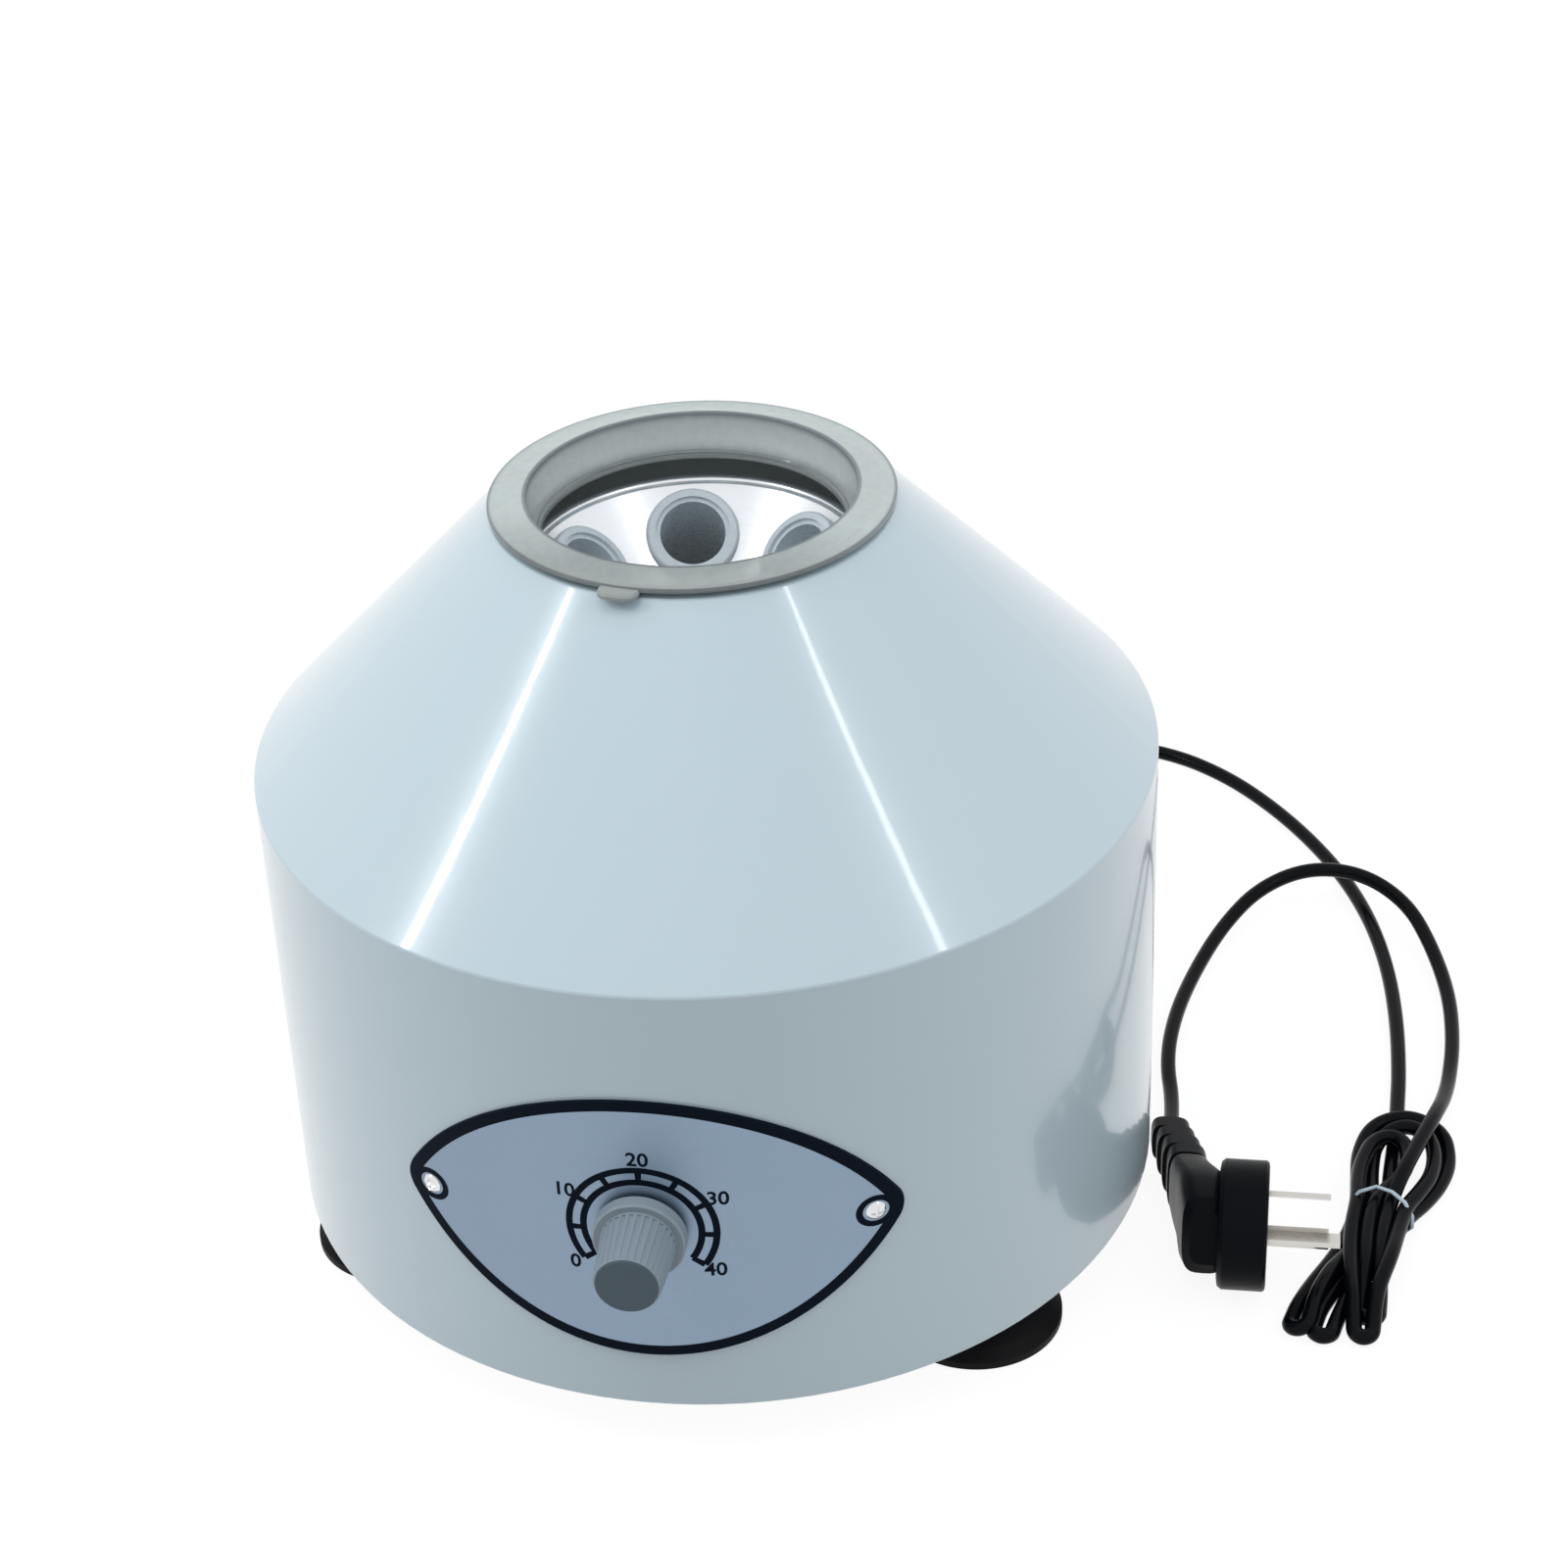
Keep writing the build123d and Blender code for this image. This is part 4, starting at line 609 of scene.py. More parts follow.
BOARD_GREEN = Layered("board_green", (0.03, 0.16, 0.07), (0.02, 0.11, 0.05), 0.0025, "X")
PRINT_BLACK = Ink("print_black")


# Mesh making


def add_object(name: str, data: bpy.types.ID) -> Piece:
    """Put a mesh, a curve, a lamp or a camera into the scene.

    Args:
        name: name of the object.
        data: what it holds.

    Returns:
        The new object.
    """
    thing = bpy.data.objects.new(name, data)
    bpy.context.scene.collection.objects.link(thing)
    return thing


def place_piece(name: str, mesh: bpy.types.Mesh, body: Body, finish: Finish) -> Piece:
    """Put a finished mesh into the scene as a piece.

    Args:
        name: name of the piece.
        mesh: its mesh, already in place.
        body: body that it rides on.
        finish: its finish.

    Returns:
        The new object.
    """
    piece = add_object(name, mesh)
    rack.dress(piece, finish)
    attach(piece, body.value)
    log.info("%s: %s on %s", name, finish.name, body.value)
    return piece


def mesh_of(name: str, work: Work, crease: float = 35.0) -> bpy.types.Mesh:
    """Close a working mesh into a mesh with smooth faces and sharp edges.

    Args:
        name: name of the mesh.
        work: working mesh, freed here.
        crease: edges that turn more than this many degrees stay sharp.

    Returns:
        The mesh.
    """
    bmesh.ops.recalc_face_normals(work, faces=work.faces)
    mesh = bpy.data.meshes.new(name)
    work.to_mesh(mesh)
    work.free()
    mesh.shade_smooth()
    mesh.set_sharp_from_angle(angle=math.radians(crease))
    return mesh


def loft(work: Work, rings: Sequence[Sequence[Point]], closed: bool = False) -> None:
    """Skin rings of equal counts of points.

    Args:
        work: mesh that takes the faces.
        rings: rings in order along the piece.
        closed: joins the last ring to the first in place of two end faces.
    """
    rows = [[work.verts.new(point) for point in ring] for ring in rings]
    pairs = list(zip(rows, rows[1:]))
    if closed:
        pairs.append((rows[-1], rows[0]))
    for lower, upper in pairs:
        for number in range(len(lower)):
            after = (number + 1) % len(lower)
            work.faces.new((lower[number], lower[after], upper[after], upper[number]))
    if not closed:
        work.faces.new(rows[0])
        work.faces.new(rows[-1])


def band(
    work: Work,
    inner: Sequence[Flat],
    outer: Sequence[Flat],
    lay: Lay,
    thickness: float,
    closed: bool,
) -> None:
    """Thin printed band between two lines, laid on a surface.

    Args:
        work: mesh that takes the faces.
        inner: points of the one edge.
        outer: points of the other edge, as many.
        lay: takes a flat point and a lift to its place on the surface.
        thickness: thickness of the print.
        closed: joins the end to the start.
    """
    rings = []
    for near, far in zip(inner, outer):
        corners = ((near, -thickness), (far, -thickness), (far, thickness), (near, thickness))
        rings.append([lay(flat[0], flat[1], lift) for flat, lift in corners])
    loft(work, rings, closed)


def arc(centre: Flat, radius: float, start: float, end: float, steps: int) -> list[Flat]:
    """Points of an arc in equal steps, both ends among them, with angles in degrees."""
    angles = [math.radians(start + (end - start) * step / steps) for step in range(steps + 1)]
    return [
        (centre[0] + radius * math.cos(turn), centre[1] + radius * math.sin(turn))
        for turn in angles
    ]


def circle(radius: float, count: int, centre: Flat = (0.0, 0.0)) -> list[Flat]:
    """Points of a whole circle, anticlockwise from the first axis."""
    return arc(centre, radius, 0, 360, count)[:-1]


def add_text(
    work: Work,
    text: str,
    height: float,
    lay: Lay,
    thickness: float,
    weight: float = 0.0,
) -> None:
    """Printed characters, laid on a surface.

    Args:
        work: mesh that takes the faces.
        text: characters, centred on the flat origin.
        height: size of the type.
        lay: takes a flat point and a lift to its place on the surface.
        thickness: thickness of the print.
        weight: how much each stroke grows on both sides.
    """
    curve = bpy.data.curves.new("type", "FONT")
    curve.body = text
    curve.size = height
    curve.extrude = thickness
    curve.offset = weight
    curve.resolution_u = 6
    curve.align_x = "CENTER"
    curve.align_y = "CENTER"
    holder = bpy.data.objects.new("type", curve)
    mesh = bpy.data.meshes.new_from_object(holder)
    for vertex in mesh.vertices:
        vertex.co = lay(*vertex.co)
    work.from_mesh(mesh)
    bpy.data.meshes.remove(mesh)
    bpy.data.curves.remove(curve)


# Housing, feet and floor


class Assembly:
    """Sub-assembly whose carried-over nodes take one finish each."""

    finishes: ClassVar[dict[Finish, tuple[str, ...]]] = {}

    def dress(self) -> None:
        """Give every carried-over node its finish."""
        for finish, names in self.finishes.items():
            rack.dress_nodes(finish, *names)


@dataclass
class Housing(Assembly):
    """Shell, floor, feet and their fasteners."""

    finishes = {
        SHELL_WHITE: ("housing_shell",),
        ZINC: ("base_plate", "base_screws", "foot_bolts"),
        FOOT_BLACK: ("foot_left", "foot_right", "foot_rear"),
    }


@dataclass
class Lid:
    """Clear dish over the rotor, with a frosted rim and a finger lug. Sizes in millimetres."""

    outer_radius: float = 56.9
    rim_radius: float = 46.0
    well_radius: float = 49.6
    taper: float = 2.7
    seat: float = 233.0
    top: float = 235.6
    lip_top: float = 237.1
    rim_lift: float = 1.2
    rim_bevel: float = 0.3
    skirt: float = 1.2
    pane_low: float = 223.9
    pane_top: float = 225.7
    pane_corner: float = 1.0
    hub_radius: float = 1.0
    round_edge: float = 0.6
    shoulder: float = 2.4
    sag: float = 0.25
    lug_azimuth: float = -10.3
    lug_width: float = 11.4
    lug_reach: float = 4.6
    lug_root: float = 2.5
    lug_corner: float = 3.6
    lug_thickness: float = 1.7
    lug_low_bevel: float = 0.3
    lug_top_bevel: float = 0.5
    points_round: int = 144

    def profile(self) -> list[Flat]:
        """Half section, from the middle of the underside round the rim to the middle of the pane.

        Returns:
            Radius and height of its points.
        """
        outer, inner = self.outer_radius, self.rim_radius
        edge, corner = self.round_edge, self.pane_corner
        foot, floor = self.well_radius - self.taper, inner - self.taper
        shoulder = self.shoulder * edge
        return [
            (self.hub_radius, self.pane_low),
            (foot - corner, self.pane_low),
            (foot, self.pane_low + 0.7 * corner),
            (self.well_radius, self.seat - self.skirt),
            (self.well_radius + 0.2, self.seat),
            (outer - self.rim_bevel, self.seat + self.rim_lift),
            (outer, self.seat + self.rim_lift + self.rim_bevel),
            *arc((outer - edge, self.top - edge), edge, 0, 90, 4),
            (outer - shoulder, self.top - self.sag),
            ((outer + inner) / 2, (self.top + self.lip_top) / 2 - 2 * self.sag),
            (inner + shoulder, self.lip_top - self.sag),
            *arc((inner + edge, self.lip_top - edge), edge, 90, 180, 4),
            (floor + 0.5 * corner, self.pane_top + 0.9 * corner),
            (floor, self.pane_top + 0.2 * corner),
            (floor - corner, self.pane_top),
            (self.hub_radius, self.pane_top),
        ]

    def lug_outline(self, inset: float) -> list[Flat]:
        """Outline of the lug seen from above, X across and Y outwards.

        Args:
            inset: distance inwards from its edge.

        Returns:
            The outline's points, anticlockwise.
        """
        across, out = self.lug_width / 2 - self.lug_corner, self.lug_reach - self.lug_corner
        side = self.lug_width / 2 - inset
        right = arc((across, out), self.lug_corner - inset, 0, 90, 8)
        left = arc((-across, out), self.lug_corner - inset, 90, 180, 8)
        return [(side, -self.lug_root), *right, *left, (-side, -self.lug_root)]

    def add_lug(self, work: Work) -> None:
        """Add the lug, rounded off at its low and its top edge.

        Args:
            work: mesh that takes it.
        """
        turn = Matrix.Rotation(math.radians(180.0 + self.lug_azimuth), 4, "Z")
        base = self.seat + self.rim_lift / 2
        high = base + self.lug_thickness
        low_bevel, top_bevel = self.lug_low_bevel, self.lug_top_bevel
        levels = ((low_bevel, base), (0.0, base + low_bevel), (0.0, high - top_bevel), (top_bevel, high))
        rings = [
            [turn @ Vector((x, y + self.outer_radius, z)) for x, y in self.lug_outline(inset)]
            for inset, z in levels
        ]
        loft(work, rings)

    def make(self) -> Piece:
        """Turn the dish and add its lug in place of the plain solid.

        Returns:
            The piece.
        """
        work = bmesh.new()
        count = self.points_round
        loft(work, [[(x, y, z) for x, y in circle(radius, count)] for radius, z in self.profile()])
        self.add_lug(work)
        bmesh.ops.scale(work, vec=(MM, MM, MM), verts=work.verts)
        pane, rim = self.rim_radius - self.taper + 0.2, self.rim_radius + 0.4
        finish = ClearLid("lid_clear", pane * MM, rim * MM, self.outer_radius * MM)
        piece = place_piece("lid_shell", mesh_of("lid_shell", work, 40.0), Body.LID, finish)
        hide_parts("lid")
        return piece


@dataclass
class Rotor(Assembly):
    """Dish, sleeves, number ring and nut, with the ring's print."""

    sleeve_count: int = 6
    first_angle: float = 101.7
    digit_radius: float = 16.9 * MM
    digit_height: float = 5.4 * MM
    dot_radius: float = 0.55 * MM
    dot_circle: float = 20.0 * MM
    line_circle: float = 20.95 * MM
    line_width: float = 0.3 * MM
    print_thickness: float = 0.03 * MM

    finishes = {
        ROTOR_BRIGHT: ("rotor_dish", "rotor_skirt", "rotor_floor"),
        CAST_ALLOY: ("rotor_hub",),
        SLEEVE_MILK: tuple(f"tube_sleeve_{number}" for number in range(1, sleeve_count + 1)),
        RING_DULL: ("number_ring",),
        FOOT_BLACK: ("rotor_washer",),
        CHROME: ("dome_nut",),
    }

    def print_number(self, work: Work, number: int, top: float) -> None:
        """Print one sleeve's number and its dot.

        Args:
            work: mesh that takes the print.
            number: the sleeve's place, counted from 0.
            top: height of the ring's face.
        """
        angle = self.first_angle - 360.0 / self.sleeve_count * number
        turn = Matrix.Rotation(math.radians(angle - 90.0), 4, "Z")

        def lay(x: float, y: float, lift: float) -> Point:
            """Place of a point of the digit, its top outwards."""
            return tuple(turn @ Vector((x, y + self.digit_radius, top + lift)))

        add_text(work, str(number + 1), self.digit_height, lay, self.print_thickness)
        dot = turn @ Vector((0.0, self.dot_circle, top))
        outline = circle(self.dot_radius, 24, (dot.x, dot.y))
        levels = (top - self.print_thickness, top + self.print_thickness)
        loft(work, [[(x, y, level) for x, y in outline] for level in levels])

    def print_ring(self) -> None:
        """Print digits, dots and an edge line on the number ring."""
        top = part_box("number_ring")[1].z
        work = bmesh.new()
        for number in range(self.sleeve_count):
            self.print_number(work, number, top)

        def lay(x: float, y: float, lift: float) -> Point:
            """Place of a point on the ring's face."""
            return (x, y, top + lift)

        edges = [circle(self.line_circle + width, 144) for width in (0.0, self.line_width)]
        band(work, *edges, lay, self.print_thickness, True)
        place_piece("ring_print", mesh_of("ring_print", work), Body.ROTOR, PRINT_BLACK)


# Dial plate and knob


@dataclass
class Dial(Assembly):
    """Plate on the drum's front with its printed border, scale and numbers."""

    drum_radius: float = 131.05 * MM
    plate_z: float = 79.7 * MM
    dial_z: float = 80.3 * MM
    lens_radius: float = 77.7 * MM
    lens_half_height: float = 43.5 * MM
    tip_radius: float = 9.0 * MM
    border_margin: float = 0.1 * MM
    border_width: float = 3.1 * MM
    edge_lap: float = 0.06 * MM
    edge_depth: float = 0.9 * MM
    scale_inner: float = 16.2 * MM
    scale_outer: float = 20.2 * MM
    scale_line: float = 0.95 * MM
    scale_reach: float = 125.0
    divisions: int = 8
    number_circle: float = 23.6 * MM
    number_height: float = 6.2 * MM
    number_weight: float = 0.12 * MM
    screw_azimuth: float = 28.0
    screw_z: float = 79.3 * MM
    screw_ring: float = 3.4 * MM
    screw_ring_width: float = 1.8 * MM
    thickness: float = 0.04 * MM
    tip_steps: int = 14
    side_steps: int = 60

    def on_drum(self, x: float, z: float, lift: float) -> Point:
        """Place on the plate's face, from a point of the front view and a lift off the face."""
        radius = self.drum_radius + lift
        return (x, -math.sqrt(radius**2 - x**2), z)

    def outline(self, inset: float) -> list[Flat]:
        """Lens outline of the plate in the front view, moved inwards.

        Args:
            inset: distance inwards from the plate's edge.

        Returns:
            The outline's points, anticlockwise.
        """
        drop = self.lens_radius - self.lens_half_height
        reach = self.lens_radius - self.tip_radius
        lean = math.degrees(math.asin(drop / reach))
        tip_x = math.sqrt(reach**2 - drop**2)
        large, small = self.lens_radius - inset, self.tip_radius - inset
        right = arc((tip_x, 0), small, -lean, lean, self.tip_steps)
        top = arc((0, -drop), large, lean, 180 - lean, self.side_steps)
        left = arc((-tip_x, 0), small, 180 - lean, 180 + lean, self.tip_steps)
        low = arc((0, drop), large, 180 + lean, 360 - lean, self.side_steps)
        points = right[:-1] + top[:-1] + left[:-1] + low[:-1]
        return [(x, self.plate_z + z) for x, z in points]

    finishes = {
        PLATE_SILVER: ("dial_plate",),
        CHROME: ("dial_plate_screws",),
        ZINC: ("speed_pot", "pot_nut"),
    }

    def print_border(self, work: Work) -> None:
        """Print the border, with the paint carried over the plate's edge.

        Args:
            work: mesh that takes the print.
        """
        border = [self.outline(self.border_margin + width) for width in (self.border_width, 0.0)]
        band(work, *border, self.on_drum, self.thickness, True)

        def on_edge(x: float, z: float, lift: float) -> Point:
            """Place of a point on the plate's painted edge."""
            return self.on_drum(x, z, lift - self.edge_depth / 2)

        edge = [self.outline(width) for width in (self.border_width, -self.edge_lap)]
        band(work, *edge, on_edge, (self.edge_depth + self.edge_lap) / 2, True)

    def print_screw_rings(self, work: Work) -> None:
        """Print a ring round each screw.

        Args:
            work: mesh that takes the print.
        """
        for side in (-1, 1):
            across = side * self.drum_radius * math.sin(math.radians(self.screw_azimuth))
            widths = (self.screw_ring, self.screw_ring + self.screw_ring_width)
            rings = [circle(width, 48, (across, self.screw_z)) for width in widths]
            band(work, *rings, self.on_drum, self.thickness, True)

    def print_scale(self, work: Work) -> None:
        """Print the two arcs of the scale and the strokes between them.

        Args:
            work: mesh that takes the print.
        """
        centre = (0.0, self.dial_z)
        start, end = 90 + self.scale_reach, 90 - self.scale_reach
        radii = (self.scale_inner, self.scale_outer)
        line = self.scale_line
        for radius in radii:
            edges = [arc(centre, radius + half, start, end, 80) for half in (-line, line)]
            band(work, *edges, self.on_drum, self.thickness, False)
        half = math.degrees(line / self.scale_outer)
        for number in range(self.divisions + 1):
            angle = start - 2 * self.scale_reach / self.divisions * number
            sides = [
                [arc(centre, radius, angle + lean, angle, 1)[0] for radius in radii]
                for lean in (-half, half)
            ]
            band(work, *sides, self.on_drum, self.thickness, False)

    def print_numbers(self, work: Work) -> None:
        """Print a number at every second stroke, in tens.

        Args:
            work: mesh that takes the print.
        """
        for number in range(self.divisions // 2 + 1):
            angle = math.radians(90 + self.scale_reach - 4 * self.scale_reach / self.divisions * number)
            x, z = self.number_circle * math.cos(angle), self.number_circle * math.sin(angle)

            def lay(across: float, up: float, lift: float, x: float = x, z: float = z) -> Point:
                """Place of a point of the number."""
                return self.on_drum(x + across, self.dial_z + z + up, lift)

            add_text(work, str(10 * number), self.number_height, lay, self.thickness, self.number_weight)

    def print_plate(self) -> None:
        """Print all that the plate carries."""
        work = bmesh.new()
        self.print_border(work)
        self.print_screw_rings(work)
        self.print_scale(work)
        self.print_numbers(work)
        place_piece("dial_print", mesh_of("dial_print", work), Body.BASE, PRINT_BLACK)


@dataclass
class Knob(Assembly):
    """Fluted speed knob with its cap and shaft."""

    finishes = {
        KNOB_GREY: ("speed_knob",),
        CAP_SLATE: ("knob_cap",),
        GROUND_STEEL: ("pot_shaft",),
    }


# Motor and speed controller, out of sight inside the housing


@dataclass
class Motor(Assembly):
    """Motor, its bearings and its rubber mounts."""

    finishes = {
        CAST_ALLOY: ("motor_bottom_cap", "motor_top_cap"),
        PAINTED_CAN: ("motor_can",),
        ZINC: ("motor_tie_bolts", "motor_bracket", "mount_bolts", "brush_springs"),
        IRON_LAYERS: ("stator_core", "armature_core"),
        COPPER_TURNS: ("field_coils", "armature_windings"),
        COPPER_BARS: ("commutator",),
        BRASS: ("brush_holders",),
        BRUSH_CARBON: ("carbon_brushes",),
        FAN_BLACK: ("cooling_fan",),
        FOOT_BLACK: ("mount_bushes",),
        GROUND_STEEL: ("motor_shaft", "bearing_outer_rings", "bearing_inner_rings"),
        CHROME: ("bearing_balls",),
    }


@dataclass
class Controller(Assembly):
    """Circuit board with its parts and wires."""

    finishes = {
        BOARD_GREEN: ("control_board",),
        POST_IVORY: ("board_posts",),
        SINK_DARK: ("triac_heatsink",),
        CAPACITOR_OCHRE: ("board_capacitor",),
        WIRE_GREY: ("internal_wires",),
    }


# Plug and mains cord


@dataclass
class Plug:
    """Flat angled mains plug: a round face with a ribbed arm that leads the cord off."""

    origin: Point = (152.2 * MM, -39.3 * MM, 19.3 * MM)
    tilt: float = -12.5
    disc_radius: float = 19.2 * MM
    disc_thickness: float = 14.5 * MM
    edge: float = 1.6 * MM
    cord_lead_in: float = 21.0 * MM
    arm_end: Point = (-16.4 * MM, 59.5 * MM, 0.0)
    arm_stations: tuple[tuple[float, float, float, float], ...] = (
        (-10.6, -3.2, 9.6, 17.0),
        (-8.2, -3.8, 13.0, 25.0),
        (0.0, -4.4, 14.8, 29.6),
        (9.0, -5.4, 14.6, 28.0),
        (17.0, -7.8, 13.0, 24.4),
        (23.0, -9.2, 12.2, 21.8),
    )
    rib_start: float = 23.5
    rib_end: float = 58.5
    rib_count: int = 4
    rib_x: tuple[float, float] = (-9.9, -15.8)
    rib_wide: tuple[float, float] = (12.2, 12.0)
    rib_high: tuple[float, float] = (20.4, 12.6)
    groove_depth: float = 2.8
    groove_span: tuple[float, float] = (0.5, 1.8)
    rib_rise: float = 2.3
    rib_gap: float = 0.4
    rib_lean: float = 0.6
    tip_step: float = 2.0
    section_points: int = 40
    section_power: float = 0.55

    def place(self) -> Matrix:
        """Frame of the plug: +X along the pins, +Y along the arm."""
        return Matrix.Translation(self.origin) @ Matrix.Rotation(math.radians(self.tilt), 4, "X")

    def section(self, y: float, x: float, width: float, height: float) -> list[Point]:
        """Rounded cross section of the arm.

        Args:
            y: distance along the arm, in millimetres as the rest.
            x: place of its middle across the arm.
            width: size across the arm.
            height: size along the plug's face.

        Returns:
            The section's points, in metres.
        """
        points = []
        for step in range(self.section_points):
            turn = 2 * math.pi * step / self.section_points
            parts = (math.cos(turn), math.sin(turn))
            wide, high = (math.copysign(abs(part) ** self.section_power, part) for part in parts)
            points.append(((x + wide * width / 2) * MM, y * MM, high * height / 2 * MM))
        return points

    def sections(self) -> list[list[Point]]:
        """Cross sections from the arm's heel to its tip, grooved between the ribs.

        Returns:
            The points of each section.
        """
        found = [self.section(*station) for station in self.arm_stations]
        pitch = (self.rib_end - self.rib_start) / self.rib_count
        for number in range(self.rib_count):
            share = number / (self.rib_count - 1)
            ends = (self.rib_x, self.rib_wide, self.rib_high)
            x, wide, high = (first + (last - first) * share for first, last in ends)
            low = self.rib_start + pitch * number
            groove = (wide - self.groove_depth, high - self.groove_depth)
            for rise in self.groove_span:
                found.append(self.section(low + rise, x, *groove))
            found.append(self.section(low + self.rib_rise, x, wide, high))
            found.append(self.section(low + pitch - self.rib_gap, x - self.rib_lean, wide, high))
        x, y = (part / MM for part in self.arm_end[:2])
        wide, high = self.rib_wide[1] - self.tip_step, self.rib_high[1] - self.tip_step
        found.append(self.section(y, x, wide, high))
        return found

    def disc_stations(self) -> list[Flat]:
        """Half section of the round face.

        Returns:
            Distance along the pins and radius, from the back to the face.
        """
        edge, radius, thick = self.edge, self.disc_radius, self.disc_thickness
        return [
            (0.0, radius - 2 * edge),
            (0.25 * edge, radius - 0.6 * edge),
            (edge, radius),
            (thick - 0.6 * edge, radius),
            (thick - 0.15 * edge, radius - 0.3 * edge),
            (thick, radius - edge),
            (thick, radius - 2.2 * edge),
        ]

    def make(self) -> Piece:
        """Build the plug's body in place of its plain solid.

        Returns:
            The piece.
        """
        work = bmesh.new()
        loft(work, self.sections())
        loft(work, [[(x, y, z) for y, z in circle(radius, 72)] for x, radius in self.disc_stations()])
        bmesh.ops.transform(work, matrix=self.place(), verts=work.verts)
        mesh = mesh_of("plug_shell", work, 28.0)
        piece = place_piece("plug_shell", mesh, Body.BASE, PLUG_BLACK)
        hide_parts("plug_body")
        rack.dress_nodes(PIN_PLATED, "plug_pins")
        return piece

    def cord_end(self) -> list[Vector]:
        """Last two points of the cord: in line with the arm, then at its end."""
        x, y, z = self.arm_end
        return [self.place() @ Vector((x, y + reach, z)) for reach in (self.cord_lead_in, 0.0)]


@dataclass
class Hank:
    """Bundled middle of the cord: strands under one tie, folds below and loops above, in millimetres."""

    tie_centre: Flat = (200.5, -12.0)
    tie_turn: float = -12.0
    strand_pitch: float = 4.8
    low: float = 3.9
    high: float = 8.8

    def slot(self, number: int, height: float) -> Point:
        """Place of a strand under the tie.

        Args:
            number: the strand's place, counted from the left.
            height: height of its middle.

        Returns:
            The place, in millimetres.
        """
        turn = math.radians(self.tie_turn)
        across = (number - 1.5) * self.strand_pitch
        x, y = self.tie_centre
        return (x + across * math.cos(turn), y + across * math.sin(turn), height)

    def points(self) -> list[Point]:
        """Points of the whole hank, run by run, where each run ends under the tie.

        Returns:
            The points from the tail's end to the lead's start, in millimetres.
        """
        slot, low, high = self.slot, self.low, self.high
        runs = {
            "tail": [
                (205.8, 45.0, 2.5), (205.4, 33.0, 2.5), (204.3, 20.0, 2.5), (203.2, 7.0, 2.5),
                (202.9, -3.0, 3.0), slot(2, low),
            ],
            "left finger": [
                (198.6, -25.0, 3.0), (192.6, -36.0, 2.5), (187.0, -46.0, 2.5), (183.0, -55.0, 2.5),
                (181.5, -61.9, 2.5), (180.8, -65.0, 2.5), (183.2, -67.1, 2.5), (186.2, -66.1, 2.5),
                (186.9, -63.0, 2.5), (188.4, -57.0, 2.5), (191.6, -46.5, 2.5), (197.2, -36.0, 2.5),
                (203.2, -25.0, 3.0), slot(3, low),
            ],
            "outer loop": [
                (213.8, -4.0, 2.8), (219.2, 7.0, 2.5), (221.5, 18.0, 2.6), (219.6, 28.4, 5.2),
                (209.0, 33.6, 7.3), (198.0, 30.0, 5.6), (193.6, 19.0, 2.8), (193.6, 5.0, 2.6),
                slot(0, low),
            ],
            "second left finger": [
                (190.2, -23.5, 3.0), (186.2, -33.0, 2.5), (180.6, -44.0, 2.5), (176.4, -54.0, 2.5),
                (174.8, -60.1, 2.5), (174.0, -63.2, 2.5), (176.3, -65.4, 3.2), (179.4, -64.5, 4.4),
                (180.0, -61.4, 5.0), (181.2, -54.5, 6.6), (184.8, -44.0, 6.8), (189.6, -34.0, 5.0),
                (194.2, -24.5, 3.2), slot(1, low),
            ],
            "middle loop": [
                (197.6, 0.0, 2.8), (197.6, 12.0, 2.5), (198.8, 22.8, 4.2), (206.0, 28.2, 7.5),
                (214.0, 25.6, 7.5), (216.8, 16.0, 7.2), (215.6, 4.0, 7.4), (211.5, -6.0, 8.3),
                slot(3, high),
            ],
            "right finger": [
                (205.2, -25.0, 8.8), (203.0, -38.0, 10.4), (200.0, -48.0, 9.0), (198.5, -55.5, 7.6),
                (198.0, -62.7, 4.4), (197.8, -65.7, 3.3), (195.1, -67.0, 2.8), (192.6, -65.3, 3.3),
                (192.5, -62.3, 4.4), (192.2, -54.5, 7.6), (191.6, -46.0, 8.0), (191.2, -36.0, 8.0),
                (191.6, -23.5, 8.4), slot(0, high),
            ],
            "inner loop": [
                (193.4, -1.0, 8.0), (194.6, 9.0, 7.6), (197.8, 19.2, 7.6), (204.4, 22.8, 7.5),
                (208.6, 17.0, 7.5), (208.2, 6.0, 7.5), (203.2, -3.0, 8.3), slot(1, high),
            ],
            "second right finger": [
                (196.2, -24.0, 8.4), (195.6, -37.0, 7.4), (195.0, -48.5, 4.2), (194.6, -53.5, 2.8),
                (194.4, -56.6, 2.5), (196.9, -58.3, 2.5), (199.6, -57.0, 2.5), (199.8, -53.9, 2.8),
                (200.0, -48.5, 4.2), (200.0, -37.0, 7.2), (200.8, -24.0, 8.4), slot(2, high),
            ],
            "lead": [
                (205.4, -4.5, 11.4), (207.8, 2.0, 12.7), (210.1, 9.1, 12.7), (212.7, 16.7, 12.6),
                (215.3, 24.4, 12.2), (217.4, 32.2, 10.6), (219.8, 43.0, 7.2),
            ],
        }
        return [point for run in runs.values() for point in run]


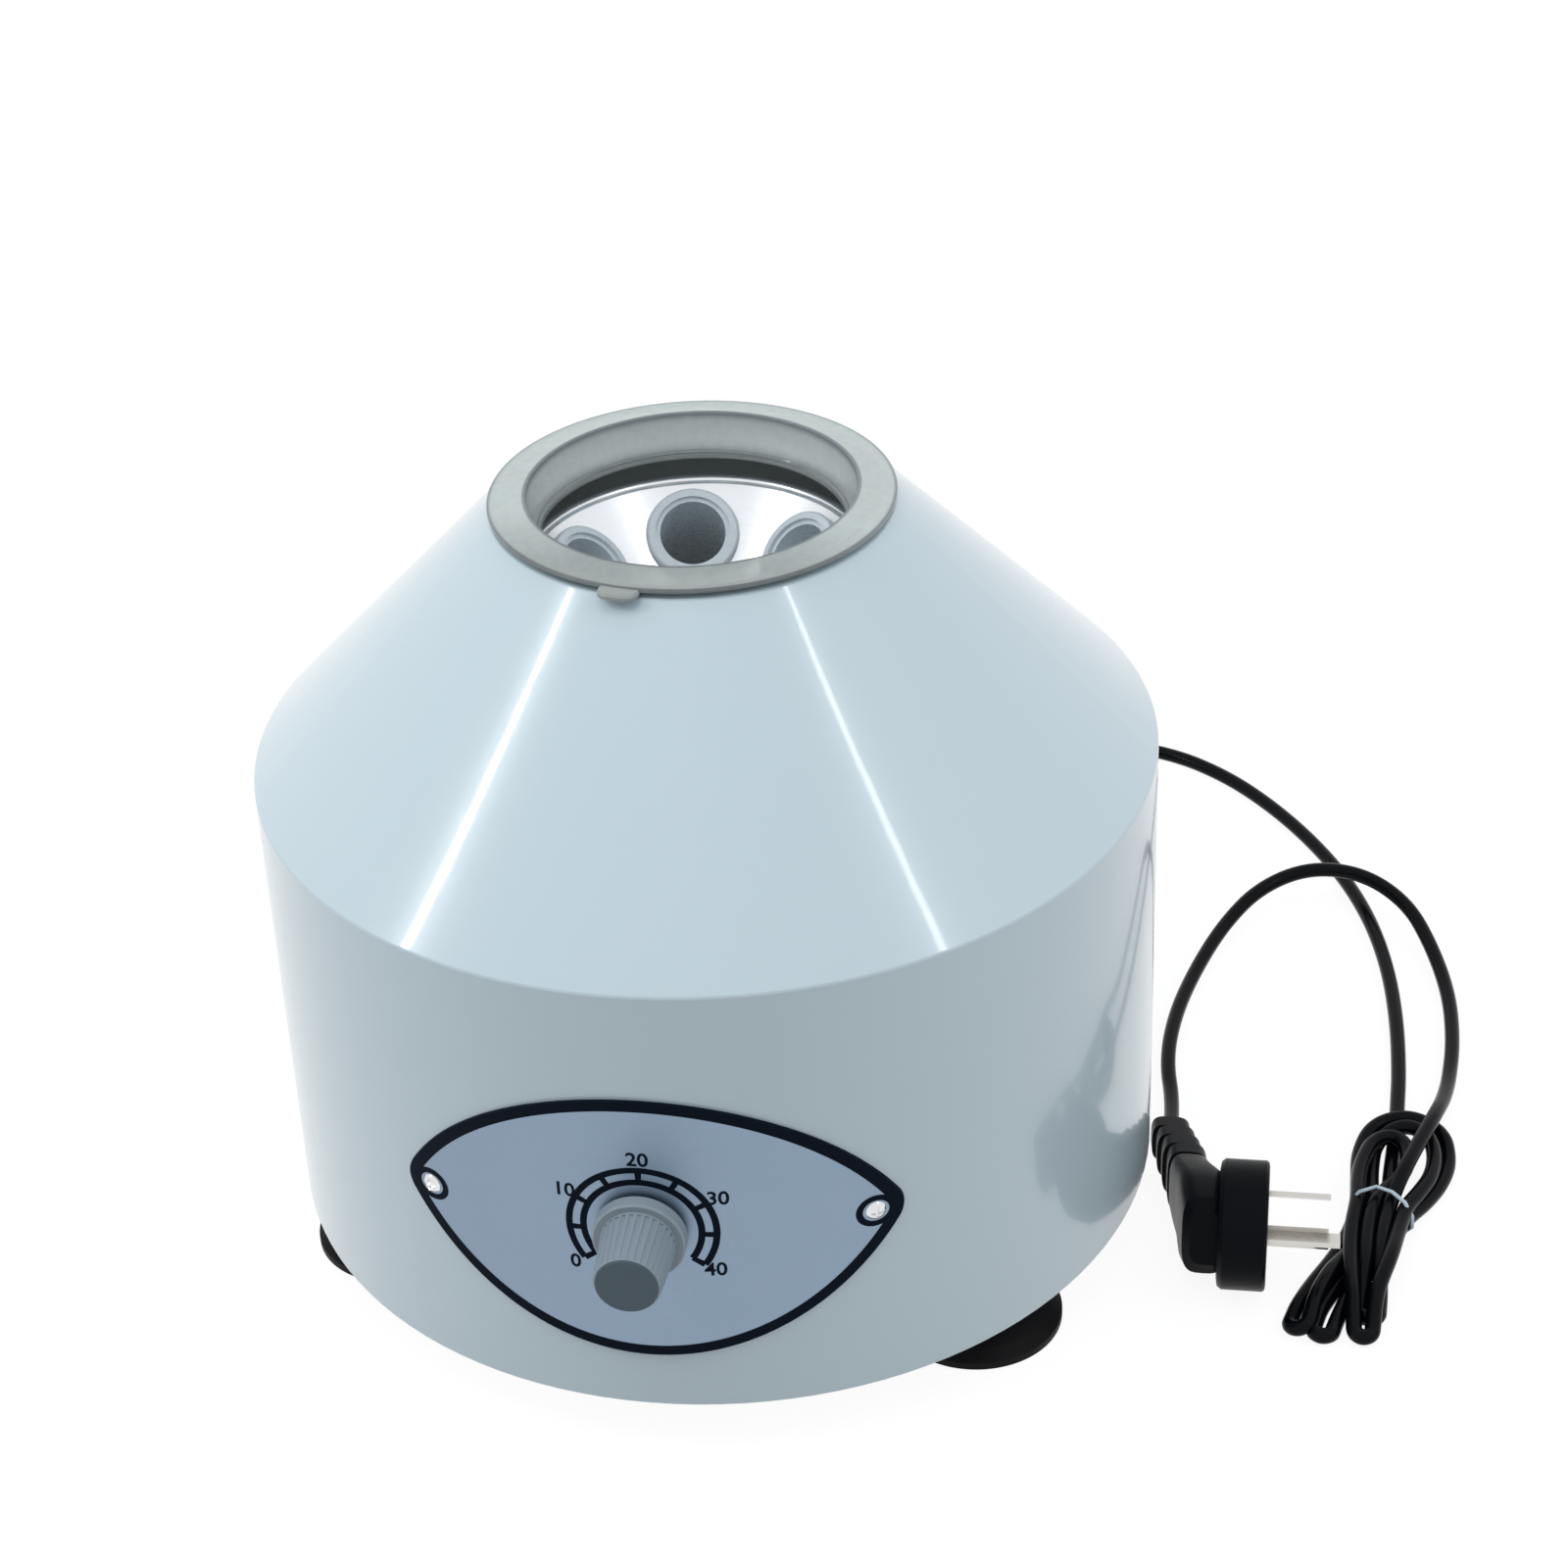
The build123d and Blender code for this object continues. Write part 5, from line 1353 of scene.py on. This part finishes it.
@dataclass
class Tie:
    """Thin covered wire wound once round the hank. Sizes in millimetres."""

    wide: float = 1.7
    thick: float = 1.1
    sides: int = 16
    points: tuple[Point, ...] = (
        (191.2, -11.0, 5.0), (191.6, -11.6, 8.8), (193.6, -11.4, 11.8), (198.6, -10.2, 13.2),
        (203.2, -12.2, 13.1), (207.0, -15.2, 11.8), (209.4, -17.4, 8.2), (209.6, -17.2, 4.2),
        (207.6, -16.0, 1.2), (203.0, -13.8, 0.7), (197.6, -11.8, 0.7), (192.8, -10.4, 1.3),
    )

    def make(self) -> Piece:
        """Wind the tie in place of its plain solid.

        Returns:
            The piece.
        """
        points = [Vector(point) for point in self.points]
        centre = sum(points, Vector()) / len(points)
        outline, rings = circle(1.0, self.sides), []
        for number, point in enumerate(points):
            along = points[(number + 1) % len(points)] - points[number - 1]
            out = point - centre
            out = (out - out.project(along)).normalized()
            side = along.normalized().cross(out) * self.wide / 2
            out *= self.thick / 2
            rings.append([(point + out * high + side * wide) * MM for high, wide in outline])
        work = bmesh.new()
        loft(work, rings, True)
        bmesh.ops.subdivide_edges(work, edges=work.edges, cuts=1, smooth=1.0)
        mesh = mesh_of("cord_tie", work, 80.0)
        piece = place_piece("cord_tie", mesh, Body.BASE, TIE_PALE)
        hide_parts("hank_tie")
        return piece


@dataclass
class MainsCord:
    """Mains cord in one length: tail from the gland, hank, and lead to the plug."""

    plug: Plug
    hank: Hank = field(default_factory=Hank)
    tie: Tie = field(default_factory=Tie)
    diameter: float = 4.8 * MM
    length: float = 1.57
    tail: tuple[Point, ...] = (
        (0.0, 155.5, 38.0), (0.0, 173.0, 38.0), (1.5, 191.0, 31.0), (7.0, 209.0, 16.0),
        (19.0, 227.0, 5.0), (38.0, 243.0, 2.5), (65.0, 253.0, 2.5), (95.0, 256.0, 2.5),
        (125.0, 249.5, 2.5), (146.0, 235.0, 2.5), (163.5, 215.0, 2.5), (178.0, 193.0, 2.5),
        (189.5, 170.0, 2.5), (198.0, 145.0, 2.5), (203.5, 117.0, 2.5), (206.0, 88.0, 2.5),
        (206.4, 61.0, 2.5),
    )
    lead: tuple[Point, ...] = (
        (222.0, 58.0, 3.6), (223.8, 80.0, 2.5), (223.0, 106.0, 2.5), (217.5, 130.0, 5.0),
        (209.5, 148.0, 9.5), (194.5, 159.5, 13.2), (176.0, 161.5, 13.2), (159.5, 153.0, 9.5),
        (148.0, 136.0, 5.0), (139.5, 112.0, 2.5), (134.0, 86.0, 2.5), (132.5, 61.0, 2.5),
    )

    def route(self) -> list[Vector]:
        """Every point of the cord in order, in metres, the last two in line with the plug's arm."""
        free = [Vector(point) * MM for point in (*self.tail, *self.hank.points(), *self.lead)]
        return free + self.plug.cord_end()

    def make(self, plug_shell: Piece) -> Piece:
        """Lay the cord as one smooth spline in place of its solids.

        Args:
            plug_shell: body of the plug at its far end; not used.

        Returns:
            The cord.
        """
        points = self.route()
        curve = bpy.data.curves.new("mains_cord", "CURVE")
        curve.dimensions = "3D"
        curve.bevel_depth = self.diameter / 2
        curve.bevel_resolution = 5
        curve.resolution_u = 8
        curve.use_fill_caps = True
        spline = curve.splines.new("NURBS")
        spline.points.add(len(points) - 1)
        for spot, point in zip(spline.points, points):
            spot.co = (*point, 1.0)
        spline.order_u = 3
        spline.use_endpoint_u = True
        cord = add_object("mains_cord", curve)
        rack.dress(cord, CORD_BLACK)
        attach(cord, Body.BASE.value)
        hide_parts("cord_tail", "cord_hank", "cord_lead")
        tuple(points[0])
        self.tie.make()
        rack.dress_nodes(CORD_BLACK, "cord_gland")
        log.info("mains_cord: %d points", len(points))
        return cord


# Studio


@dataclass(frozen=True)
class Lamp:
    """Area lamp that faces the machine, placed by azimuth from the front towards +X and elevation."""

    name: str
    azimuth: float
    elevation: float
    reach: float
    size: Flat
    power: float
    mirrored: bool = False

    def hang(self, centre: Vector) -> None:
        """Put the lamp into the scene.

        Args:
            centre: point that it faces.
        """
        data = bpy.data.lights.new(self.name, "AREA")
        data.shape = "RECTANGLE"
        data.size, data.size_y = self.size
        data.energy = self.power
        lamp = add_object(self.name, data)
        lamp.visible_glossy = self.mirrored
        turn, rise = math.radians(self.azimuth), math.radians(self.elevation)
        flat = math.cos(rise)
        back = Vector((math.sin(turn) * flat, -math.cos(turn) * flat, math.sin(rise)))
        facing = (-back).to_track_quat("-Z", "Y").to_matrix().to_4x4()
        lamp.matrix_world = Matrix.Translation(centre + back * self.reach) @ facing


@dataclass
class Studio:
    """Camera, lamps, world and floor."""

    eye: Point = (0.16198, -0.83330, 0.67223)
    aim: Point = (0.02153, 0.00361, 0.13838)
    roll: float = 2.575
    lens: float = 78.95
    sensor: float = 36.0
    view_end: float = 50.0
    lit_point: Point = (0.0, 0.0, 0.15)
    floor_half: float = 6.0
    floor_depth: float = 0.02
    floor_grey: float = 0.42
    floor_share: float = 0.7
    floor_glow: float = 1.3
    sky_start: float = -0.1
    sky_low: float = 0.09
    sky_high: float = 0.95
    daylight: Colour = (0.97, 0.99, 1.0)
    lamps: tuple[Lamp, ...] = (
        Lamp("overhead", -25.0, 70.0, 1.6, (1.0, 0.8), 3.7),
        Lamp("window_left", -82.0, 34.0, 1.5, (0.9, 1.1), 4.2),
        Lamp("window_right", 84.0, 28.0, 1.5, (0.9, 1.1), 4.1),
        Lamp("strip_left", -69.0, 39.0, 1.3, (0.035, 0.5), 1.9, True),
        Lamp("strip_right", 69.0, 47.0, 1.3, (0.03, 0.45), 0.7, True),
    )

    def camera(self) -> None:
        """Set the camera where the photograph was taken from."""
        data = bpy.data.cameras.new("camera")
        data.lens = self.lens
        data.sensor_width = self.sensor
        data.clip_end = self.view_end
        camera = add_object("camera", data)
        look = Vector(self.aim) - Vector(self.eye)
        turn = look.to_track_quat("-Z", "Y").to_matrix().to_4x4()
        lean = Matrix.Rotation(math.radians(-self.roll), 4, "Z")
        camera.matrix_world = Matrix.Translation(self.eye) @ turn @ lean
        bpy.context.scene.camera = camera

    def world(self) -> None:
        """White where it is seen, soft daylight on the machine, brightest overhead."""
        world = bpy.data.worlds.new("studio")
        bpy.context.scene.world = world
        world.use_nodes = True
        sky = NodeTree(world.node_tree)
        sky.tree.nodes.clear()
        sky.add("ShaderNodeOutputWorld")
        split = sky.add("ShaderNodeSeparateXYZ")
        sky.wire(sky.add("ShaderNodeTexCoord").outputs["Generated"], split.inputs["Vector"])
        daylight, white = (sky.add("ShaderNodeBackground") for _ in range(2))
        strength = sky.spread(split.outputs["Z"], self.sky_low, self.sky_high, self.sky_start, 1.0)
        sky.wire(strength, daylight.inputs["Strength"])
        daylight.inputs["Color"].default_value = (*self.daylight, 1.0)
        white.inputs["Color"].default_value = (1.0, 1.0, 1.0, 1.0)
        sky.mix("OUTPUT_WORLD", sky.seen(), daylight.outputs[0], white.outputs[0])

    def floor(self) -> None:
        """Pale floor that looks white where it is seen and keeps the machine's shadow."""
        half, depth = self.floor_half, self.floor_depth
        work = bmesh.new()
        corners = ((-half, -half), (half, -half), (half, half), (-half, half))
        loft(work, [[(x, y, z) for x, y in corners] for z in (-depth, 0.0)])
        sheet = NodeSheet("floor_white")
        sheet.set(Base_Color=(*(self.floor_grey,) * 3, 1.0), Roughness=0.9, Specular_IOR_Level=0.1)
        glow = sheet.add("ShaderNodeEmission")
        glow.inputs["Strength"].default_value = self.floor_glow
        share = sheet.sum("MULTIPLY", sheet.seen(), self.floor_share)
        sheet.mix("OUTPUT_MATERIAL", share, sheet.shader.outputs[0], glow.outputs[0])
        mesh = mesh_of("floor", work)
        mesh.materials.append(sheet.material)
        add_object("floor", mesh)

    def build(self) -> None:
        """Set the whole studio."""
        bpy.context.scene.view_settings.view_transform = "Standard"
        self.camera()
        self.world()
        self.floor()
        for lamp in self.lamps:
            lamp.hang(Vector(self.lit_point))


def main() -> None:
    """Build the studio, then the machine from its cord to its rotor."""
    logging.basicConfig(level=logging.INFO, format="%(message)s")
    Studio().build()
    plug = Plug()
    MainsCord(plug).make(plug.make())
    Housing().dress()
    Lid().make()
    rotor = Rotor()
    rotor.dress()
    rotor.print_ring()
    dial = Dial()
    dial.dress()
    dial.print_plate()
    Knob().dress()
    Motor().dress()
    Controller().dress()


if __name__ == "__main__":
    main()
